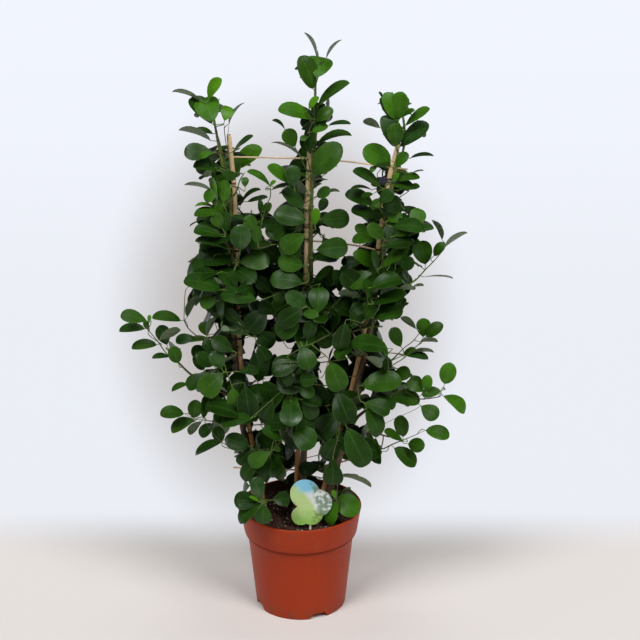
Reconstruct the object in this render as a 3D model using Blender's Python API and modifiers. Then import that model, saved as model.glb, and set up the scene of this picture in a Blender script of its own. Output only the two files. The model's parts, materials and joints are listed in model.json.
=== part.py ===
"""Potted ficus trained on a fan of three bamboo canes, in a round nursery pot.

Units are metres, +Z is up, and the origin is the middle of the pot's underside. The fan of canes
stands in the XZ plane, and the front of the plant faces -Y.
"""

import math

import bmesh
import bpy
from mathutils import Vector, noise

COLLECTION_NAME = "potted_ficus_frame_topiary"
GAP = 0.0003
SHARP_FROM = math.radians(40)

# Pot
POT_HEIGHT = 0.184
POT_RIM_RADIUS = 0.105
POT_BASE_RADIUS = 0.0778
POT_WALL = 0.0022
POT_LIP = 0.0012
COLLAR_BOTTOM = 0.138
COLLAR_BOTTOM_RADIUS = 0.0978
COLLAR_EDGE = 0.001
COLLAR_EDGE_HEIGHT = 0.003
COLLAR_STEP = 0.0062
COLLAR_CURVE = 0.005
STEP_LENGTH = 0.009
FLOOR_TOP = 0.0105
FLOOR_UNDERSIDE = 0.008
FLOOR_DRAFT = 0.003
FOOT_WIDTH = 0.007
FOOT_EDGE = 0.0012
FOOT_EDGE_HEIGHT = 0.004
CENTRE_PAD_RADIUS = 0.024
POT_SIDES = 28
NOTCH_COUNT = 4
NOTCH_WIDTH = 0.034
NOTCH_HEIGHT = 0.0096
NOTCH_TOP_SHARE = 0.62
NOTCH_DEPTH = 0.020
NOTCH_CUT_IN = 0.004
NOTCH_FIRST_ANGLE = math.radians(-66)

# Soil
SOIL_TOP = 0.168
SOIL_FLAT_RADIUS = 0.070
SOIL_EDGE_DROP = 0.003
SOIL_TO_POT = 0.0012
SOIL_TO_COLLAR = 0.0018

# Canes and crossbars of the fan
CANE_FOOT_RADIUS = 0.0044
CANE_TIP_RADIUS = 0.0038
CROSSBAR_RADIUS = 0.0015

# Stems
STEM_FOOT_RADIUS = 0.0064
STEM_TIP_RADIUS = 0.0016
STEM_FLARE = 0.0036
STEM_FLARE_HEIGHT = 0.012
STEM_TO_CANE = 0.0008
TUNNEL_CLEARANCE = 0.0058
FREE_STEM_CLEARANCE = 0.0025
LIMB_CLEARANCE = 0.0014
LIMB_CUT_PAST_TIP = 0.002
CANE_CUT_PAST_TIP = 0.004
STEM_CUT_PAST_TIP = 0.003
STEM_CUT_OVERLAP = 0.020
BOUGH_TIP_RADIUS = 0.0012

# Ties round a cane and its stem
TIE_RADIUS = 0.0009
TIE_CLEARANCE = 0.0009

# Label card on its stick
CARD_THICKNESS = 0.0008
CARD_MIDDLE = Vector((0.017, -0.060, 0.2145))
CARD_LEAN = math.radians(-9)
CARD_LOBES = (
    (-0.009, 0.016, 0.0250),
    (0.0135, 0.0, 0.0235),
    (-0.0155, -0.0225, 0.0165),
    (0.002, -0.019, 0.0195),
)
STICK_WIDTH = 0.0032
STICK_THICKNESS = 0.0012
STICK_TOP = 0.222

# Foliage
MASS_SIDES = 10
MASS_LEVELS = 7
MASS_ROUNDNESS = 3.2
MASS_UNEVENNESS = 0.30
MASS_NOISE_SCALE = 2.1
MASS_SEPARATION = 0.0012
NEIGHBOUR_REACH = 1.9

# Each cane as the points it passes through, from the soil to its tip
CANE_ROUTES = {
    "left": (
        (-0.0620, 0.000, 0.1695),
        (-0.0820, 0.000, 0.298),
        (-0.0890, 0.000, 0.343),
        (-0.1000, 0.000, 0.465),
        (-0.1025, 0.000, 0.628),
        (-0.1050, 0.000, 0.750),
        (-0.1120, 0.000, 0.834),
    ),
    "centre": (
        (-0.0085, 0.000, 0.1695),
        (-0.0050, 0.000, 0.268),
        (0.0030, 0.000, 0.430),
        (0.0100, 0.000, 0.582),
        (0.0120, 0.000, 0.711),
        (0.0180, 0.000, 0.822),
    ),
    "right": (
        (0.0290, 0.000, 0.1695),
        (0.0620, -0.007, 0.301),
        (0.0850, -0.013, 0.397),
        (0.1070, -0.020, 0.509),
        (0.1280, -0.030, 0.660),
        (0.1410, -0.036, 0.761),
        (0.1570, -0.040, 0.830),
    ),
}

# The side of the cane each stem climbs, as an angle from +X, and the free top above the last tie
STEM_SIDES = {"left": math.radians(190), "centre": math.radians(-20), "right": math.radians(-12)}
STEM_LEAVES_CANE = {"left": 0.735, "centre": 0.790, "right": 0.788}
STEM_TIPS = {
    "left": ((-0.1230, -0.002, 0.785), (-0.1300, -0.004, 0.830), (-0.1380, -0.004, 0.885)),
    "centre": ((0.0270, -0.004, 0.845), (0.0260, -0.004, 0.905), (0.0300, -0.004, 0.958)),
    "right": ((0.1630, -0.046, 0.815), (0.1660, -0.046, 0.848), (0.1600, -0.042, 0.890)),
}

# Each crossbar as the points it passes through, from left to right
CROSSBAR_ROUTES = {
    "upper": (
        (-0.1135, 0.000, 0.796),
        (0.0150, 0.000, 0.7935),
        (0.0860, -0.014, 0.791),
        (0.1720, -0.0415, 0.786),
    ),
    "middle": (
        (-0.1300, 0.000, 0.657),
        (0.0120, 0.000, 0.656),
        (0.0810, -0.014, 0.6535),
        (0.1330, -0.0315, 0.649),
    ),
    "lower": (
        (-0.1160, 0.001, 0.249),
        (-0.0060, 0.001, 0.245),
        (0.0490, -0.002, 0.256),
        (0.0820, -0.006, 0.266),
    ),
}

TIE_HEIGHTS = {"left": 0.489, "centre": 0.582, "right": 0.769}

# Main boughs: the stem each grows from, the height it leaves at, its foot radius and its route
BOUGHS = {
    "left_high": (
        "left", 0.377, 0.0030, ((-0.143, -0.005, 0.401), (-0.185, -0.012, 0.431), (-0.222, -0.017, 0.478))
    ),
    "left_low": ("left", 0.330, 0.0028, ((-0.124, -0.012, 0.366), (-0.150, -0.018, 0.370))),
    "right_high": ("right", 0.520, 0.0030, ((0.146, -0.032, 0.562), (0.190, -0.040, 0.606))),
    "right_middle": ("right", 0.385, 0.0028, ((0.120, -0.026, 0.430), (0.158, -0.038, 0.470))),
    "right_low": ("right", 0.338, 0.0030, ((0.125, -0.028, 0.381), (0.176, -0.040, 0.408))),
    "right_foot": ("right", 0.305, 0.0026, ((0.112, -0.028, 0.330), (0.150, -0.038, 0.326))),
    "rim_left": ("left", 0.186, 0.0024, ((-0.066, -0.024, 0.200), (-0.066, -0.048, 0.218))),
    "rim_right": ("right", 0.186, 0.0024, ((0.066, -0.008, 0.202), (0.076, -0.012, 0.218))),
}

# Masses of foliage: left and right reach, front and back reach, lowest and highest level
LEAF_MASSES = {
    "left_tip": ((-0.203, -0.086), (-0.052, 0.052), (0.836, 0.930)),
    "left_high": ((-0.194, -0.056), (-0.070, 0.070), (0.722, 0.856)),
    "left_upper": ((-0.174, -0.038), (-0.080, 0.085), (0.628, 0.747)),
    "left_middle": ((-0.192, -0.048), (-0.090, 0.095), (0.530, 0.655)),
    "centre_tip": ((-0.014, 0.070), (-0.042, 0.042), (0.905, 0.998)),
    "centre_high": ((-0.038, 0.087), (-0.062, 0.062), (0.810, 0.922)),
    "centre_upper": ((-0.054, 0.076), (-0.072, 0.078), (0.706, 0.836)),
    "centre_middle": ((-0.060, 0.084), (-0.085, 0.090), (0.606, 0.735)),
    "centre_belt": ((-0.062, 0.076), (-0.100, 0.105), (0.505, 0.634)),
    "right_tip": ((0.098, 0.209), (-0.088, 0.022), (0.815, 0.914)),
    "right_high": ((0.082, 0.218), (-0.102, 0.038), (0.712, 0.838)),
    "right_upper": ((0.080, 0.229), (-0.107, 0.058), (0.622, 0.738)),
    "right_middle": ((0.064, 0.198), (-0.112, 0.078), (0.526, 0.648)),
    "lower_left": ((-0.172, -0.052), (-0.105, 0.115), (0.420, 0.558)),
    "lower_centre": ((-0.076, 0.050), (-0.122, 0.128), (0.405, 0.538)),
    "lower_right": ((0.028, 0.156), (-0.124, 0.108), (0.424, 0.557)),
    "low_left": ((-0.194, -0.054), (-0.112, 0.118), (0.312, 0.448)),
    "low_centre": ((-0.078, 0.060), (-0.137, 0.128), (0.308, 0.438)),
    "low_right": ((0.042, 0.188), (-0.132, 0.112), (0.324, 0.452)),
    "foot_left": ((-0.120, -0.022), (-0.106, 0.088), (0.226, 0.342)),
    "foot_right": ((0.036, 0.144), (-0.116, 0.084), (0.256, 0.356)),
    "rim_left": ((-0.114, -0.016), (-0.110, -0.030), (0.190, 0.262)),
    "rim_right": ((0.040, 0.106), (-0.049, 0.020), (0.190, 0.252)),
    "rim_back": ((-0.060, 0.046), (0.008, 0.090), (0.190, 0.272)),
    "spray_left_high": ((-0.302, -0.158), (-0.075, 0.040), (0.454, 0.548)),
    "spray_left_low": ((-0.236, -0.130), (-0.075, 0.045), (0.284, 0.420)),
    "spray_right_high": ((0.177, 0.276), (-0.085, 0.010), (0.585, 0.708)),
    "spray_right_middle": ((0.143, 0.238), (-0.090, 0.010), (0.461, 0.546)),
    "spray_right_low": ((0.155, 0.284), (-0.100, 0.015), (0.351, 0.461)),
    "spray_right_foot": ((0.126, 0.254), (-0.095, 0.015), (0.272, 0.351)),
}
SMALL_MASSES = ("spray", "rim")


def clear_scene():
    for obj in list(bpy.data.objects):
        bpy.data.objects.remove(obj, do_unlink=True)


def new_collection(name):
    collection = bpy.data.collections.new(name)
    bpy.context.scene.collection.children.link(collection)
    return collection


def make_material(name, colour, roughness, metallic=0.0):
    material = bpy.data.materials.new(name)
    material.use_nodes = True
    shader = material.node_tree.nodes["Principled BSDF"]
    shader.inputs["Base Color"].default_value = (*colour, 1.0)
    shader.inputs["Roughness"].default_value = roughness
    shader.inputs["Metallic"].default_value = metallic
    return material


def add_object(name, data, material, collection):
    obj = bpy.data.objects.new(name, data)
    collection.objects.link(obj)
    if material is not None:
        obj.data.materials.append(material)
    return obj


def as_cutter(obj):
    obj.hide_render = True
    obj.display_type = "WIRE"
    return obj


def blend(a, b, share):
    return a + (b - a) * share


def route_point(points, height):
    """The point of a route that climbs in Z, at the given height, on a smooth curve through it."""
    knots = [Vector(p) for p in points]
    for i in range(len(knots) - 1):
        if height <= knots[i + 1].z or i == len(knots) - 2:
            break
    before = knots[max(i - 1, 0)]
    after = knots[min(i + 2, len(knots) - 1)]
    start, end = knots[i], knots[i + 1]
    rise = end.z - start.z
    t = min(max((height - start.z) / rise, 0.0), 1.0)
    slope_in = (end - before) / (end.z - before.z) * rise
    slope_out = (after - start) / (after.z - start.z) * rise
    place = (
        start * (2 * t**3 - 3 * t**2 + 1)
        + slope_in * (t**3 - 2 * t**2 + t)
        + end * (3 * t**2 - 2 * t**3)
        + slope_out * (t**3 - t**2)
    )
    place.z = height
    return place


def smooth_path(points, steps):
    """A curve through any few points, with the given number of steps between two of them."""
    knots = [Vector(p) for p in points]
    path = []
    for i in range(len(knots) - 1):
        before = knots[max(i - 1, 0)]
        after = knots[min(i + 2, len(knots) - 1)]
        start, end = knots[i], knots[i + 1]
        for step in range(steps):
            t = step / steps
            path.append(
                0.5
                * (
                    2 * start
                    + (end - before) * t
                    + (2 * before - 5 * start + 4 * end - after) * t**2
                    + (3 * start - before - 3 * end + after) * t**3
                )
            )
    path.append(knots[-1])
    return path


def tube(name, path, radii, material, collection, closed=False, roundness=2):
    """A limb, cane or wire: a curve with a round section and filled caps."""
    curve = bpy.data.curves.new(name, "CURVE")
    curve.dimensions = "3D"
    curve.bevel_depth = 1.0
    curve.bevel_resolution = roundness
    curve.use_fill_caps = not closed
    spline = curve.splines.new("POLY")
    spline.points.add(len(path) - 1)
    for point, place, radius in zip(spline.points, path, radii):
        point.co = (*place, 1.0)
        point.radius = radius
    spline.use_cyclic_u = closed
    return add_object(name, curve, material, collection)


def tube_cutter(name, path, radii, collection):
    """The same round section as a closed mesh, which can cut other meshes."""
    guide = tube(name + "_guide", path, radii, None, collection, roundness=1)
    depsgraph = bpy.context.evaluated_depsgraph_get()
    mesh = bpy.data.meshes.new_from_object(guide.evaluated_get(depsgraph))
    work = bmesh.new()
    work.from_mesh(mesh)
    bmesh.ops.remove_doubles(work, verts=work.verts, dist=0.00001)
    bmesh.ops.recalc_face_normals(work, faces=work.faces)
    work.to_mesh(mesh)
    work.free()
    cutter = add_object(name, mesh, None, collection)
    cutter.matrix_world = guide.matrix_world
    bpy.data.objects.remove(guide, do_unlink=True)
    return as_cutter(cutter)


def turned(name, profile, material, collection, sides=POT_SIDES):
    """A turned solid from a closed profile of (radius, height) points, outer side first and downwards."""
    mesh = bpy.data.meshes.new(name)
    work = bmesh.new()
    verts = [work.verts.new((radius, 0.0, height)) for radius, height in profile]
    for first, second in zip(verts, verts[1:]):
        work.edges.new((first, second))
    if profile[0][0] > 0.0:
        work.edges.new((verts[-1], verts[0]))
    work.to_mesh(mesh)
    work.free()
    obj = add_object(name, mesh, material, collection)
    screw = obj.modifiers.new("turn", "SCREW")
    screw.steps = sides
    screw.render_steps = sides
    screw.use_merge_vertices = True
    screw.merge_threshold = 0.00001
    return obj


def pot_outer_radius(height):
    if height >= COLLAR_BOTTOM:
        share = (height - COLLAR_BOTTOM) / (POT_HEIGHT - COLLAR_BOTTOM)
        return blend(COLLAR_BOTTOM_RADIUS, POT_RIM_RADIUS, share)
    below_collar = COLLAR_BOTTOM_RADIUS - COLLAR_STEP
    return blend(POT_BASE_RADIUS, below_collar, height / (COLLAR_BOTTOM - COLLAR_CURVE))


def pot_inner_radius(height):
    return pot_outer_radius(height) - POT_WALL


def make_pot(material, parts, cutters):
    step_bottom = COLLAR_BOTTOM - STEP_LENGTH
    below_collar = COLLAR_BOTTOM_RADIUS - COLLAR_STEP
    foot_inside = POT_BASE_RADIUS - FOOT_WIDTH
    outer = [
        (POT_RIM_RADIUS - POT_LIP, POT_HEIGHT),
        (POT_RIM_RADIUS, POT_HEIGHT - POT_LIP),
        (pot_outer_radius(COLLAR_BOTTOM + COLLAR_EDGE_HEIGHT), COLLAR_BOTTOM + COLLAR_EDGE_HEIGHT),
        (COLLAR_BOTTOM_RADIUS - COLLAR_EDGE, COLLAR_BOTTOM),
        (below_collar + COLLAR_EDGE, blend(COLLAR_BOTTOM, step_bottom, 0.4)),
        (pot_outer_radius(step_bottom), step_bottom),
        (pot_outer_radius(FOOT_EDGE_HEIGHT), FOOT_EDGE_HEIGHT),
        (POT_BASE_RADIUS - FOOT_EDGE, 0.0),
    ]
    under = [
        (foot_inside, 0.0),
        (foot_inside - FLOOR_DRAFT, FLOOR_UNDERSIDE),
        (CENTRE_PAD_RADIUS + FLOOR_DRAFT, FLOOR_UNDERSIDE),
        (CENTRE_PAD_RADIUS, 0.0),
        (0.0, 0.0),
    ]
    inner = [
        (0.0, FLOOR_TOP),
        (pot_inner_radius(FLOOR_TOP), FLOOR_TOP),
        (pot_inner_radius(step_bottom), step_bottom),
        (COLLAR_BOTTOM_RADIUS - POT_WALL, COLLAR_BOTTOM + COLLAR_EDGE_HEIGHT),
        (pot_inner_radius(POT_HEIGHT), POT_HEIGHT),
    ]
    pot = turned("pot", outer + under + inner, material, parts)
    for number in range(NOTCH_COUNT):
        angle = NOTCH_FIRST_ANGLE + number * math.tau / NOTCH_COUNT
        cutter = make_notch_cutter(f"notch_{number}", angle, cutters)
        cut = pot.modifiers.new(f"notch_{number}", "BOOLEAN")
        cut.operation = "DIFFERENCE"
        cut.object = cutter
    return pot


def make_notch_cutter(name, angle, cutters):
    """The room of one drain notch in the foot, wider at the floor than above."""
    mesh = bpy.data.meshes.new(name)
    work = bmesh.new()
    bmesh.ops.create_cube(work, size=1.0)
    height = NOTCH_HEIGHT * 2
    bmesh.ops.scale(work, verts=work.verts, vec=(NOTCH_DEPTH, NOTCH_WIDTH, height))
    for vert in work.verts:
        if vert.co.z > 0.0:
            vert.co.y *= NOTCH_TOP_SHARE
        else:
            vert.co.y *= 2 - NOTCH_TOP_SHARE
    work.to_mesh(mesh)
    work.free()
    cutter = add_object(name, mesh, None, cutters)
    middle = POT_BASE_RADIUS - FOOT_WIDTH + NOTCH_DEPTH / 2 - NOTCH_CUT_IN
    cutter.location = (middle * math.cos(angle), middle * math.sin(angle), 0.0)
    cutter.rotation_euler = (0.0, 0.0, angle)
    return as_cutter(cutter)


def make_soil(material, parts):
    edge = SOIL_TOP - SOIL_EDGE_DROP
    step_bottom = COLLAR_BOTTOM - STEP_LENGTH
    profile = [
        (0.0, SOIL_TOP),
        (SOIL_FLAT_RADIUS, SOIL_TOP),
        (pot_inner_radius(edge) - SOIL_TO_COLLAR, edge),
        (COLLAR_BOTTOM_RADIUS - POT_WALL - SOIL_TO_POT, COLLAR_BOTTOM + COLLAR_EDGE_HEIGHT),
        (pot_inner_radius(step_bottom) - SOIL_TO_POT, step_bottom),
        (pot_inner_radius(FLOOR_TOP) - SOIL_TO_POT, FLOOR_TOP + GAP),
        (0.0, FLOOR_TOP + GAP),
    ]
    return turned("soil", profile, material, parts)


def cane_radius(side, height):
    foot = CANE_ROUTES[side][0][2]
    tip = CANE_ROUTES[side][-1][2]
    return blend(CANE_FOOT_RADIUS, CANE_TIP_RADIUS, min((height - foot) / (tip - foot), 1.0))


def stem_radius(side, height):
    foot = SOIL_TOP + GAP
    tip = STEM_TIPS[side][-1][2]
    share = (height - foot) / (tip - foot)
    flare = STEM_FLARE * math.exp(-(height - foot) / STEM_FLARE_HEIGHT)
    return blend(STEM_FOOT_RADIUS, STEM_TIP_RADIUS, share) + flare


def stem_centre(side, height):
    """The stem lies against its cane up to where it leaves it, then follows its free top."""
    free_from = STEM_LEAVES_CANE[side]
    if height <= free_from:
        reach = cane_radius(side, height) + stem_radius(side, height) + STEM_TO_CANE
        angle = STEM_SIDES[side]
        offset = Vector((math.cos(angle), math.sin(angle), 0.0)) * reach
        return route_point(CANE_ROUTES[side], height) + offset
    last_tied = stem_centre(side, free_from - 0.03)
    leaving = stem_centre(side, free_from)
    return route_point((last_tied, leaving, *STEM_TIPS[side]), height)


def heights_between(low, high, count):
    return [blend(low, high, number / (count - 1)) for number in range(count)]


def stand_upright(path):
    """Sets the foot of a path straight below its next point, so that its cut end lies level."""
    path[0].x, path[0].y = path[1].x, path[1].y


def make_cane(side, material, parts):
    foot = SOIL_TOP + GAP
    tip = CANE_ROUTES[side][-1][2]
    heights = [foot] + heights_between(foot + 0.004, tip, 10)
    path = [route_point(CANE_ROUTES[side], height) for height in heights]
    stand_upright(path)
    radii = [cane_radius(side, height) for height in heights]
    return tube(f"cane_{side}", path, radii, material, parts, roundness=1)


def make_stem(side, material, parts):
    foot = SOIL_TOP + GAP
    tip = STEM_TIPS[side][-1][2]
    heights = [foot, foot + 0.006, foot + 0.014, foot + 0.028]
    heights += heights_between(foot + 0.075, tip, 13)
    path = [stem_centre(side, height) for height in heights]
    stand_upright(path)
    radii = [stem_radius(side, height) for height in heights]
    return tube(f"stem_{side}", path, radii, material, parts, roundness=1)


def make_crossbar(level, material, parts):
    behind = Vector((0.0, CANE_FOOT_RADIUS + CROSSBAR_RADIUS + GAP, 0.0))
    path = [point + behind for point in smooth_path(CROSSBAR_ROUTES[level], 2)]
    radii = [CROSSBAR_RADIUS] * len(path)
    return tube(f"crossbar_{level}", path, radii, material, parts, roundness=1)


def make_tie(side, material, parts):
    """A ring drawn tight round the cane and its stem."""
    height = TIE_HEIGHTS[side]
    cane = route_point(CANE_ROUTES[side], height)
    stem = stem_centre(side, height)
    spare = TIE_RADIUS + TIE_CLEARANCE
    sides = 14
    path = []
    for number in range(sides):
        angle = number * math.tau / sides
        way = Vector((math.cos(angle), math.sin(angle), 0.0))
        cane_reach = cane_radius(side, height) + spare
        stem_reach = stem_radius(side, height) + spare
        on_cane = cane + way * cane_reach
        on_stem = stem + way * stem_reach
        path.append(on_cane if on_cane.dot(way) > on_stem.dot(way) else on_stem)
    return tube(f"tie_{side}", path, [TIE_RADIUS] * sides, material, parts, closed=True, roundness=1)


def bough_path(name):
    side, height, foot_radius, route = BOUGHS[name]
    start = stem_centre(side, height)
    outward = (Vector(route[0]) - start).normalized()
    along_stem = (stem_centre(side, height + 0.01) - start).normalized()
    tilt = abs(outward.dot(along_stem))
    clear_of_stem = stem_radius(side, height) + foot_radius * tilt + 2 * GAP
    start = start + outward * (clear_of_stem / math.sqrt(1 - tilt**2))
    return smooth_path((start, *route), 3)


def make_bough(name, material, parts):
    path = bough_path(name)
    foot_radius = BOUGHS[name][2]
    radii = [blend(foot_radius, BOUGH_TIP_RADIUS, i / (len(path) - 1)) for i in range(len(path))]
    return tube(f"bough_{name}", path, radii, material, parts, roundness=1)


def make_limb_cutters(cutters):
    """The room that stems with their canes, boughs and crossbars need through the foliage."""
    limbs = []
    for side in CANE_ROUTES:
        cane_tip = CANE_ROUTES[side][-1][2] + CANE_CUT_PAST_TIP
        heights = heights_between(SOIL_TOP - 0.01, cane_tip, 11)
        path, radii = [], []
        for height in heights:
            level = max(height, SOIL_TOP + 0.02)
            cane = route_point(CANE_ROUTES[side], level)
            stem = stem_centre(side, level)
            apart = (stem - cane).length
            reach = (apart + cane_radius(side, level) + stem_radius(side, level)) / 2
            way = (stem - cane).normalized()
            middle = cane + way * (reach - cane_radius(side, level))
            path.append(Vector((middle.x, middle.y, height)))
            radii.append(reach + TUNNEL_CLEARANCE)
        limbs.append(tube_cutter(f"room_round_cane_{side}", path, radii, cutters))
        tip = STEM_TIPS[side][-1][2]
        heights = heights_between(cane_tip - STEM_CUT_OVERLAP, tip + STEM_CUT_PAST_TIP, 8)
        path = [stem_centre(side, min(height, tip)) for height in heights]
        path[-1].z = heights[-1]
        radii = [stem_radius(side, min(height, tip)) + FREE_STEM_CLEARANCE for height in heights]
        limbs.append(tube_cutter(f"room_round_stem_{side}", path, radii, cutters))
    for name in BOUGHS:
        path = bough_path(name)
        path.append(path[-1] + (path[-1] - path[-2]).normalized() * LIMB_CUT_PAST_TIP)
        radii = [BOUGHS[name][2] + LIMB_CLEARANCE] * len(path)
        limbs.append(tube_cutter(f"room_round_bough_{name}", path, radii, cutters))
    for level in CROSSBAR_ROUTES:
        behind = Vector((0.0, CANE_FOOT_RADIUS + CROSSBAR_RADIUS + GAP, 0.0))
        path = [point + behind for point in smooth_path(CROSSBAR_ROUTES[level], 2)]
        path.insert(0, path[0] * 2 - path[1])
        path.append(path[-1] * 2 - path[-2])
        radii = [CROSSBAR_RADIUS + LIMB_CLEARANCE] * len(path)
        limbs.append(tube_cutter(f"room_round_crossbar_{level}", path, radii, cutters))
    return limbs


def mass_middle(name):
    return Vector([(low + high) / 2 for low, high in LEAF_MASSES[name]])


def mass_halves(name):
    return Vector([(high - low) / 2 for low, high in LEAF_MASSES[name]])


def reach_along(halves, way):
    return math.sqrt(sum((half * part) ** 2 for half, part in zip(halves, way)))


def dividing_planes(name):
    """The planes that part one mass from its near neighbours, as normals and distances from its middle."""
    middle, halves = mass_middle(name), mass_halves(name)
    planes = []
    for other in LEAF_MASSES:
        if other == name:
            continue
        offset = mass_middle(other) - middle
        sizes = halves + mass_halves(other)
        closeness = math.sqrt(sum((part / size) ** 2 for part, size in zip(offset, sizes)))
        if closeness > NEIGHBOUR_REACH:
            continue
        normal = Vector([part / size**2 for part, size in zip(offset, sizes)]).normalized()
        here = reach_along(halves, normal)
        there = reach_along(mass_halves(other), normal)
        distance = offset.dot(normal) * here / (here + there) - MASS_SEPARATION
        planes.append((normal, distance))
    return planes


def make_mass(name, number, material, parts):
    """One closed, uneven body of leaves, flattened where it meets its neighbours."""
    middle, halves = mass_middle(name), mass_halves(name)
    planes = dividing_planes(name)
    mesh = bpy.data.meshes.new(f"leaves_{name}")
    work = bmesh.new()
    if name.startswith(SMALL_MASSES):
        bmesh.ops.create_icosphere(work, subdivisions=2, radius=1.0)
    else:
        bmesh.ops.create_uvsphere(work, u_segments=MASS_SIDES, v_segments=MASS_LEVELS, radius=1.0)
    reaches = []
    for vert in work.verts:
        way = vert.co.normalized()
        size = sum(abs(part) ** MASS_ROUNDNESS for part in way) ** (-1 / MASS_ROUNDNESS)
        bump = noise.noise(way * MASS_NOISE_SCALE + Vector((number * 7.3, 0.0, number * 3.1)))
        reaches.append(way * size * (1 + MASS_UNEVENNESS * bump))
    for axis in range(3):
        low = min(reach[axis] for reach in reaches)
        high = max(reach[axis] for reach in reaches)
        for reach in reaches:
            reach[axis] = (2 * (reach[axis] - low) / (high - low) - 1) * halves[axis]
    for vert, reach in zip(work.verts, reaches):
        keep = 1.0
        for normal, distance in planes:
            along = reach.dot(normal)
            if along > distance:
                keep = min(keep, distance / along)
        vert.co = middle + reach * keep
    work.to_mesh(mesh)
    work.free()
    return add_object(f"leaves_{name}", mesh, material, parts)


def bounds_of(obj):
    corners = [obj.matrix_world @ Vector(corner) for corner in obj.bound_box]
    low = [min(corner[axis] for corner in corners) for axis in range(3)]
    high = [max(corner[axis] for corner in corners) for axis in range(3)]
    return low, high


def boxes_meet(first, second):
    (low_a, high_a), (low_b, high_b) = first, second
    return all(low_a[axis] < high_b[axis] and low_b[axis] < high_a[axis] for axis in range(3))


def cut_round_limbs(mass, limbs):
    for limb in limbs:
        if boxes_meet(bounds_of(mass), bounds_of(limb)):
            cut = mass.modifiers.new(limb.name, "BOOLEAN")
            cut.operation = "DIFFERENCE"
            cut.object = limb


def keep_largest_body(mass):
    """Applies the cuts, and drops crumbs that a limb has parted from the mass."""
    depsgraph = bpy.context.evaluated_depsgraph_get()
    mesh = bpy.data.meshes.new_from_object(mass.evaluated_get(depsgraph))
    mass.modifiers.clear()
    mass.data = mesh
    work = bmesh.new()
    work.from_mesh(mesh)
    bmesh.ops.remove_doubles(work, verts=work.verts, dist=0.00002)
    bmesh.ops.triangulate(work, faces=work.faces)
    bodies = []
    unseen = set(work.verts)
    while unseen:
        body, edge = set(), [unseen.pop()]
        while edge:
            vert = edge.pop()
            body.add(vert)
            for link in vert.link_edges:
                other = link.other_vert(vert)
                if other in unseen:
                    unseen.remove(other)
                    edge.append(other)
        bodies.append(body)
    bodies.sort(key=len, reverse=True)
    for body in bodies[1:]:
        bmesh.ops.delete(work, geom=list(body), context="VERTS")
    work.to_mesh(mesh)
    work.free()
    mesh.shade_smooth()
    mesh.set_sharp_from_angle(angle=SHARP_FROM)


def card_outline():
    """The outline of the merged round lobes, met by rays from the middle of the card."""
    points = []
    sides = 34
    for number in range(sides):
        angle = number * math.tau / sides
        way = Vector((math.cos(angle), math.sin(angle)))
        reach = 0.0
        for x, y, radius in CARD_LOBES:
            centre = Vector((x, y))
            along = centre.dot(way)
            inside = radius**2 - centre.length_squared + along**2
            if inside > 0.0:
                reach = max(reach, along + math.sqrt(inside))
        points.append(way * reach)
    return points


def make_label_card(material, parts):
    curve = bpy.data.curves.new("label_card", "CURVE")
    curve.dimensions = "2D"
    curve.fill_mode = "BOTH"
    curve.extrude = CARD_THICKNESS / 2
    outline = card_outline()
    spline = curve.splines.new("POLY")
    spline.points.add(len(outline) - 1)
    for point, place in zip(spline.points, outline):
        point.co = (place.x, place.y, 0.0, 1.0)
    spline.use_cyclic_u = True
    card = add_object("label_card", curve, material, parts)
    card.location = CARD_MIDDLE
    card.rotation_euler = (math.radians(90) + CARD_LEAN, 0.0, 0.0)
    return card


def make_label_stick(material, parts):
    mesh = bpy.data.meshes.new("label_stick")
    work = bmesh.new()
    bmesh.ops.create_cube(work, size=1.0)
    foot = SOIL_TOP + GAP
    behind = CARD_THICKNESS / 2 + STICK_THICKNESS / 2 + GAP
    for vert in work.verts:
        vert.co.x = CARD_MIDDLE.x + vert.co.x * STICK_WIDTH
        height = STICK_TOP if vert.co.z > 0 else foot
        lean = (height - CARD_MIDDLE.z) * math.tan(-CARD_LEAN)
        vert.co.y = CARD_MIDDLE.y + behind / math.cos(CARD_LEAN) + lean + vert.co.y * STICK_THICKNESS
        vert.co.z = height
    work.to_mesh(mesh)
    work.free()
    return add_object("label_stick", mesh, material, parts)


def build():
    clear_scene()
    parts = new_collection(COLLECTION_NAME)
    cutters = new_collection("cutters")
    plastic = make_material("terracotta_plastic", (0.30, 0.044, 0.018), 0.42)
    earth = make_material("potting_soil", (0.030, 0.016, 0.010), 0.95)
    bamboo = make_material("bamboo", (0.50, 0.26, 0.10), 0.55)
    bark = make_material("bark", (0.16, 0.11, 0.065), 0.75)
    leaf = make_material("leaves", (0.020, 0.075, 0.012), 0.35)
    card = make_material("label_card", (0.35, 0.52, 0.30), 0.40)
    stick = make_material("label_stick", (0.75, 0.70, 0.58), 0.50)
    wire = make_material("tie", (0.010, 0.012, 0.016), 0.50)

    make_pot(plastic, parts, cutters)
    make_soil(earth, parts)
    make_label_card(card, parts)
    make_label_stick(stick, parts)
    for side in CANE_ROUTES:
        make_cane(side, bamboo, parts)
        make_stem(side, bark, parts)
        make_tie(side, wire, parts)
    for level in CROSSBAR_ROUTES:
        make_crossbar(level, bamboo, parts)
    for name in BOUGHS:
        make_bough(name, bark, parts)

    limbs = make_limb_cutters(cutters)
    masses = [make_mass(name, number, leaf, parts) for number, name in enumerate(LEAF_MASSES)]
    for mass in masses:
        cut_round_limbs(mass, limbs)
    for mass in masses:
        keep_largest_body(mass)


build()
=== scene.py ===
"""Looks of a potted ficus that is trained on a fan of three bamboo canes.

Units are metres in the model's own frame: +Z is up and the front of the plant faces -Y.
"""
import json
import math
import random

import bmesh
import bpy
import numpy as np
from mathutils import Matrix, Vector, noise
from mathutils.bvhtree import BVHTree

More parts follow.
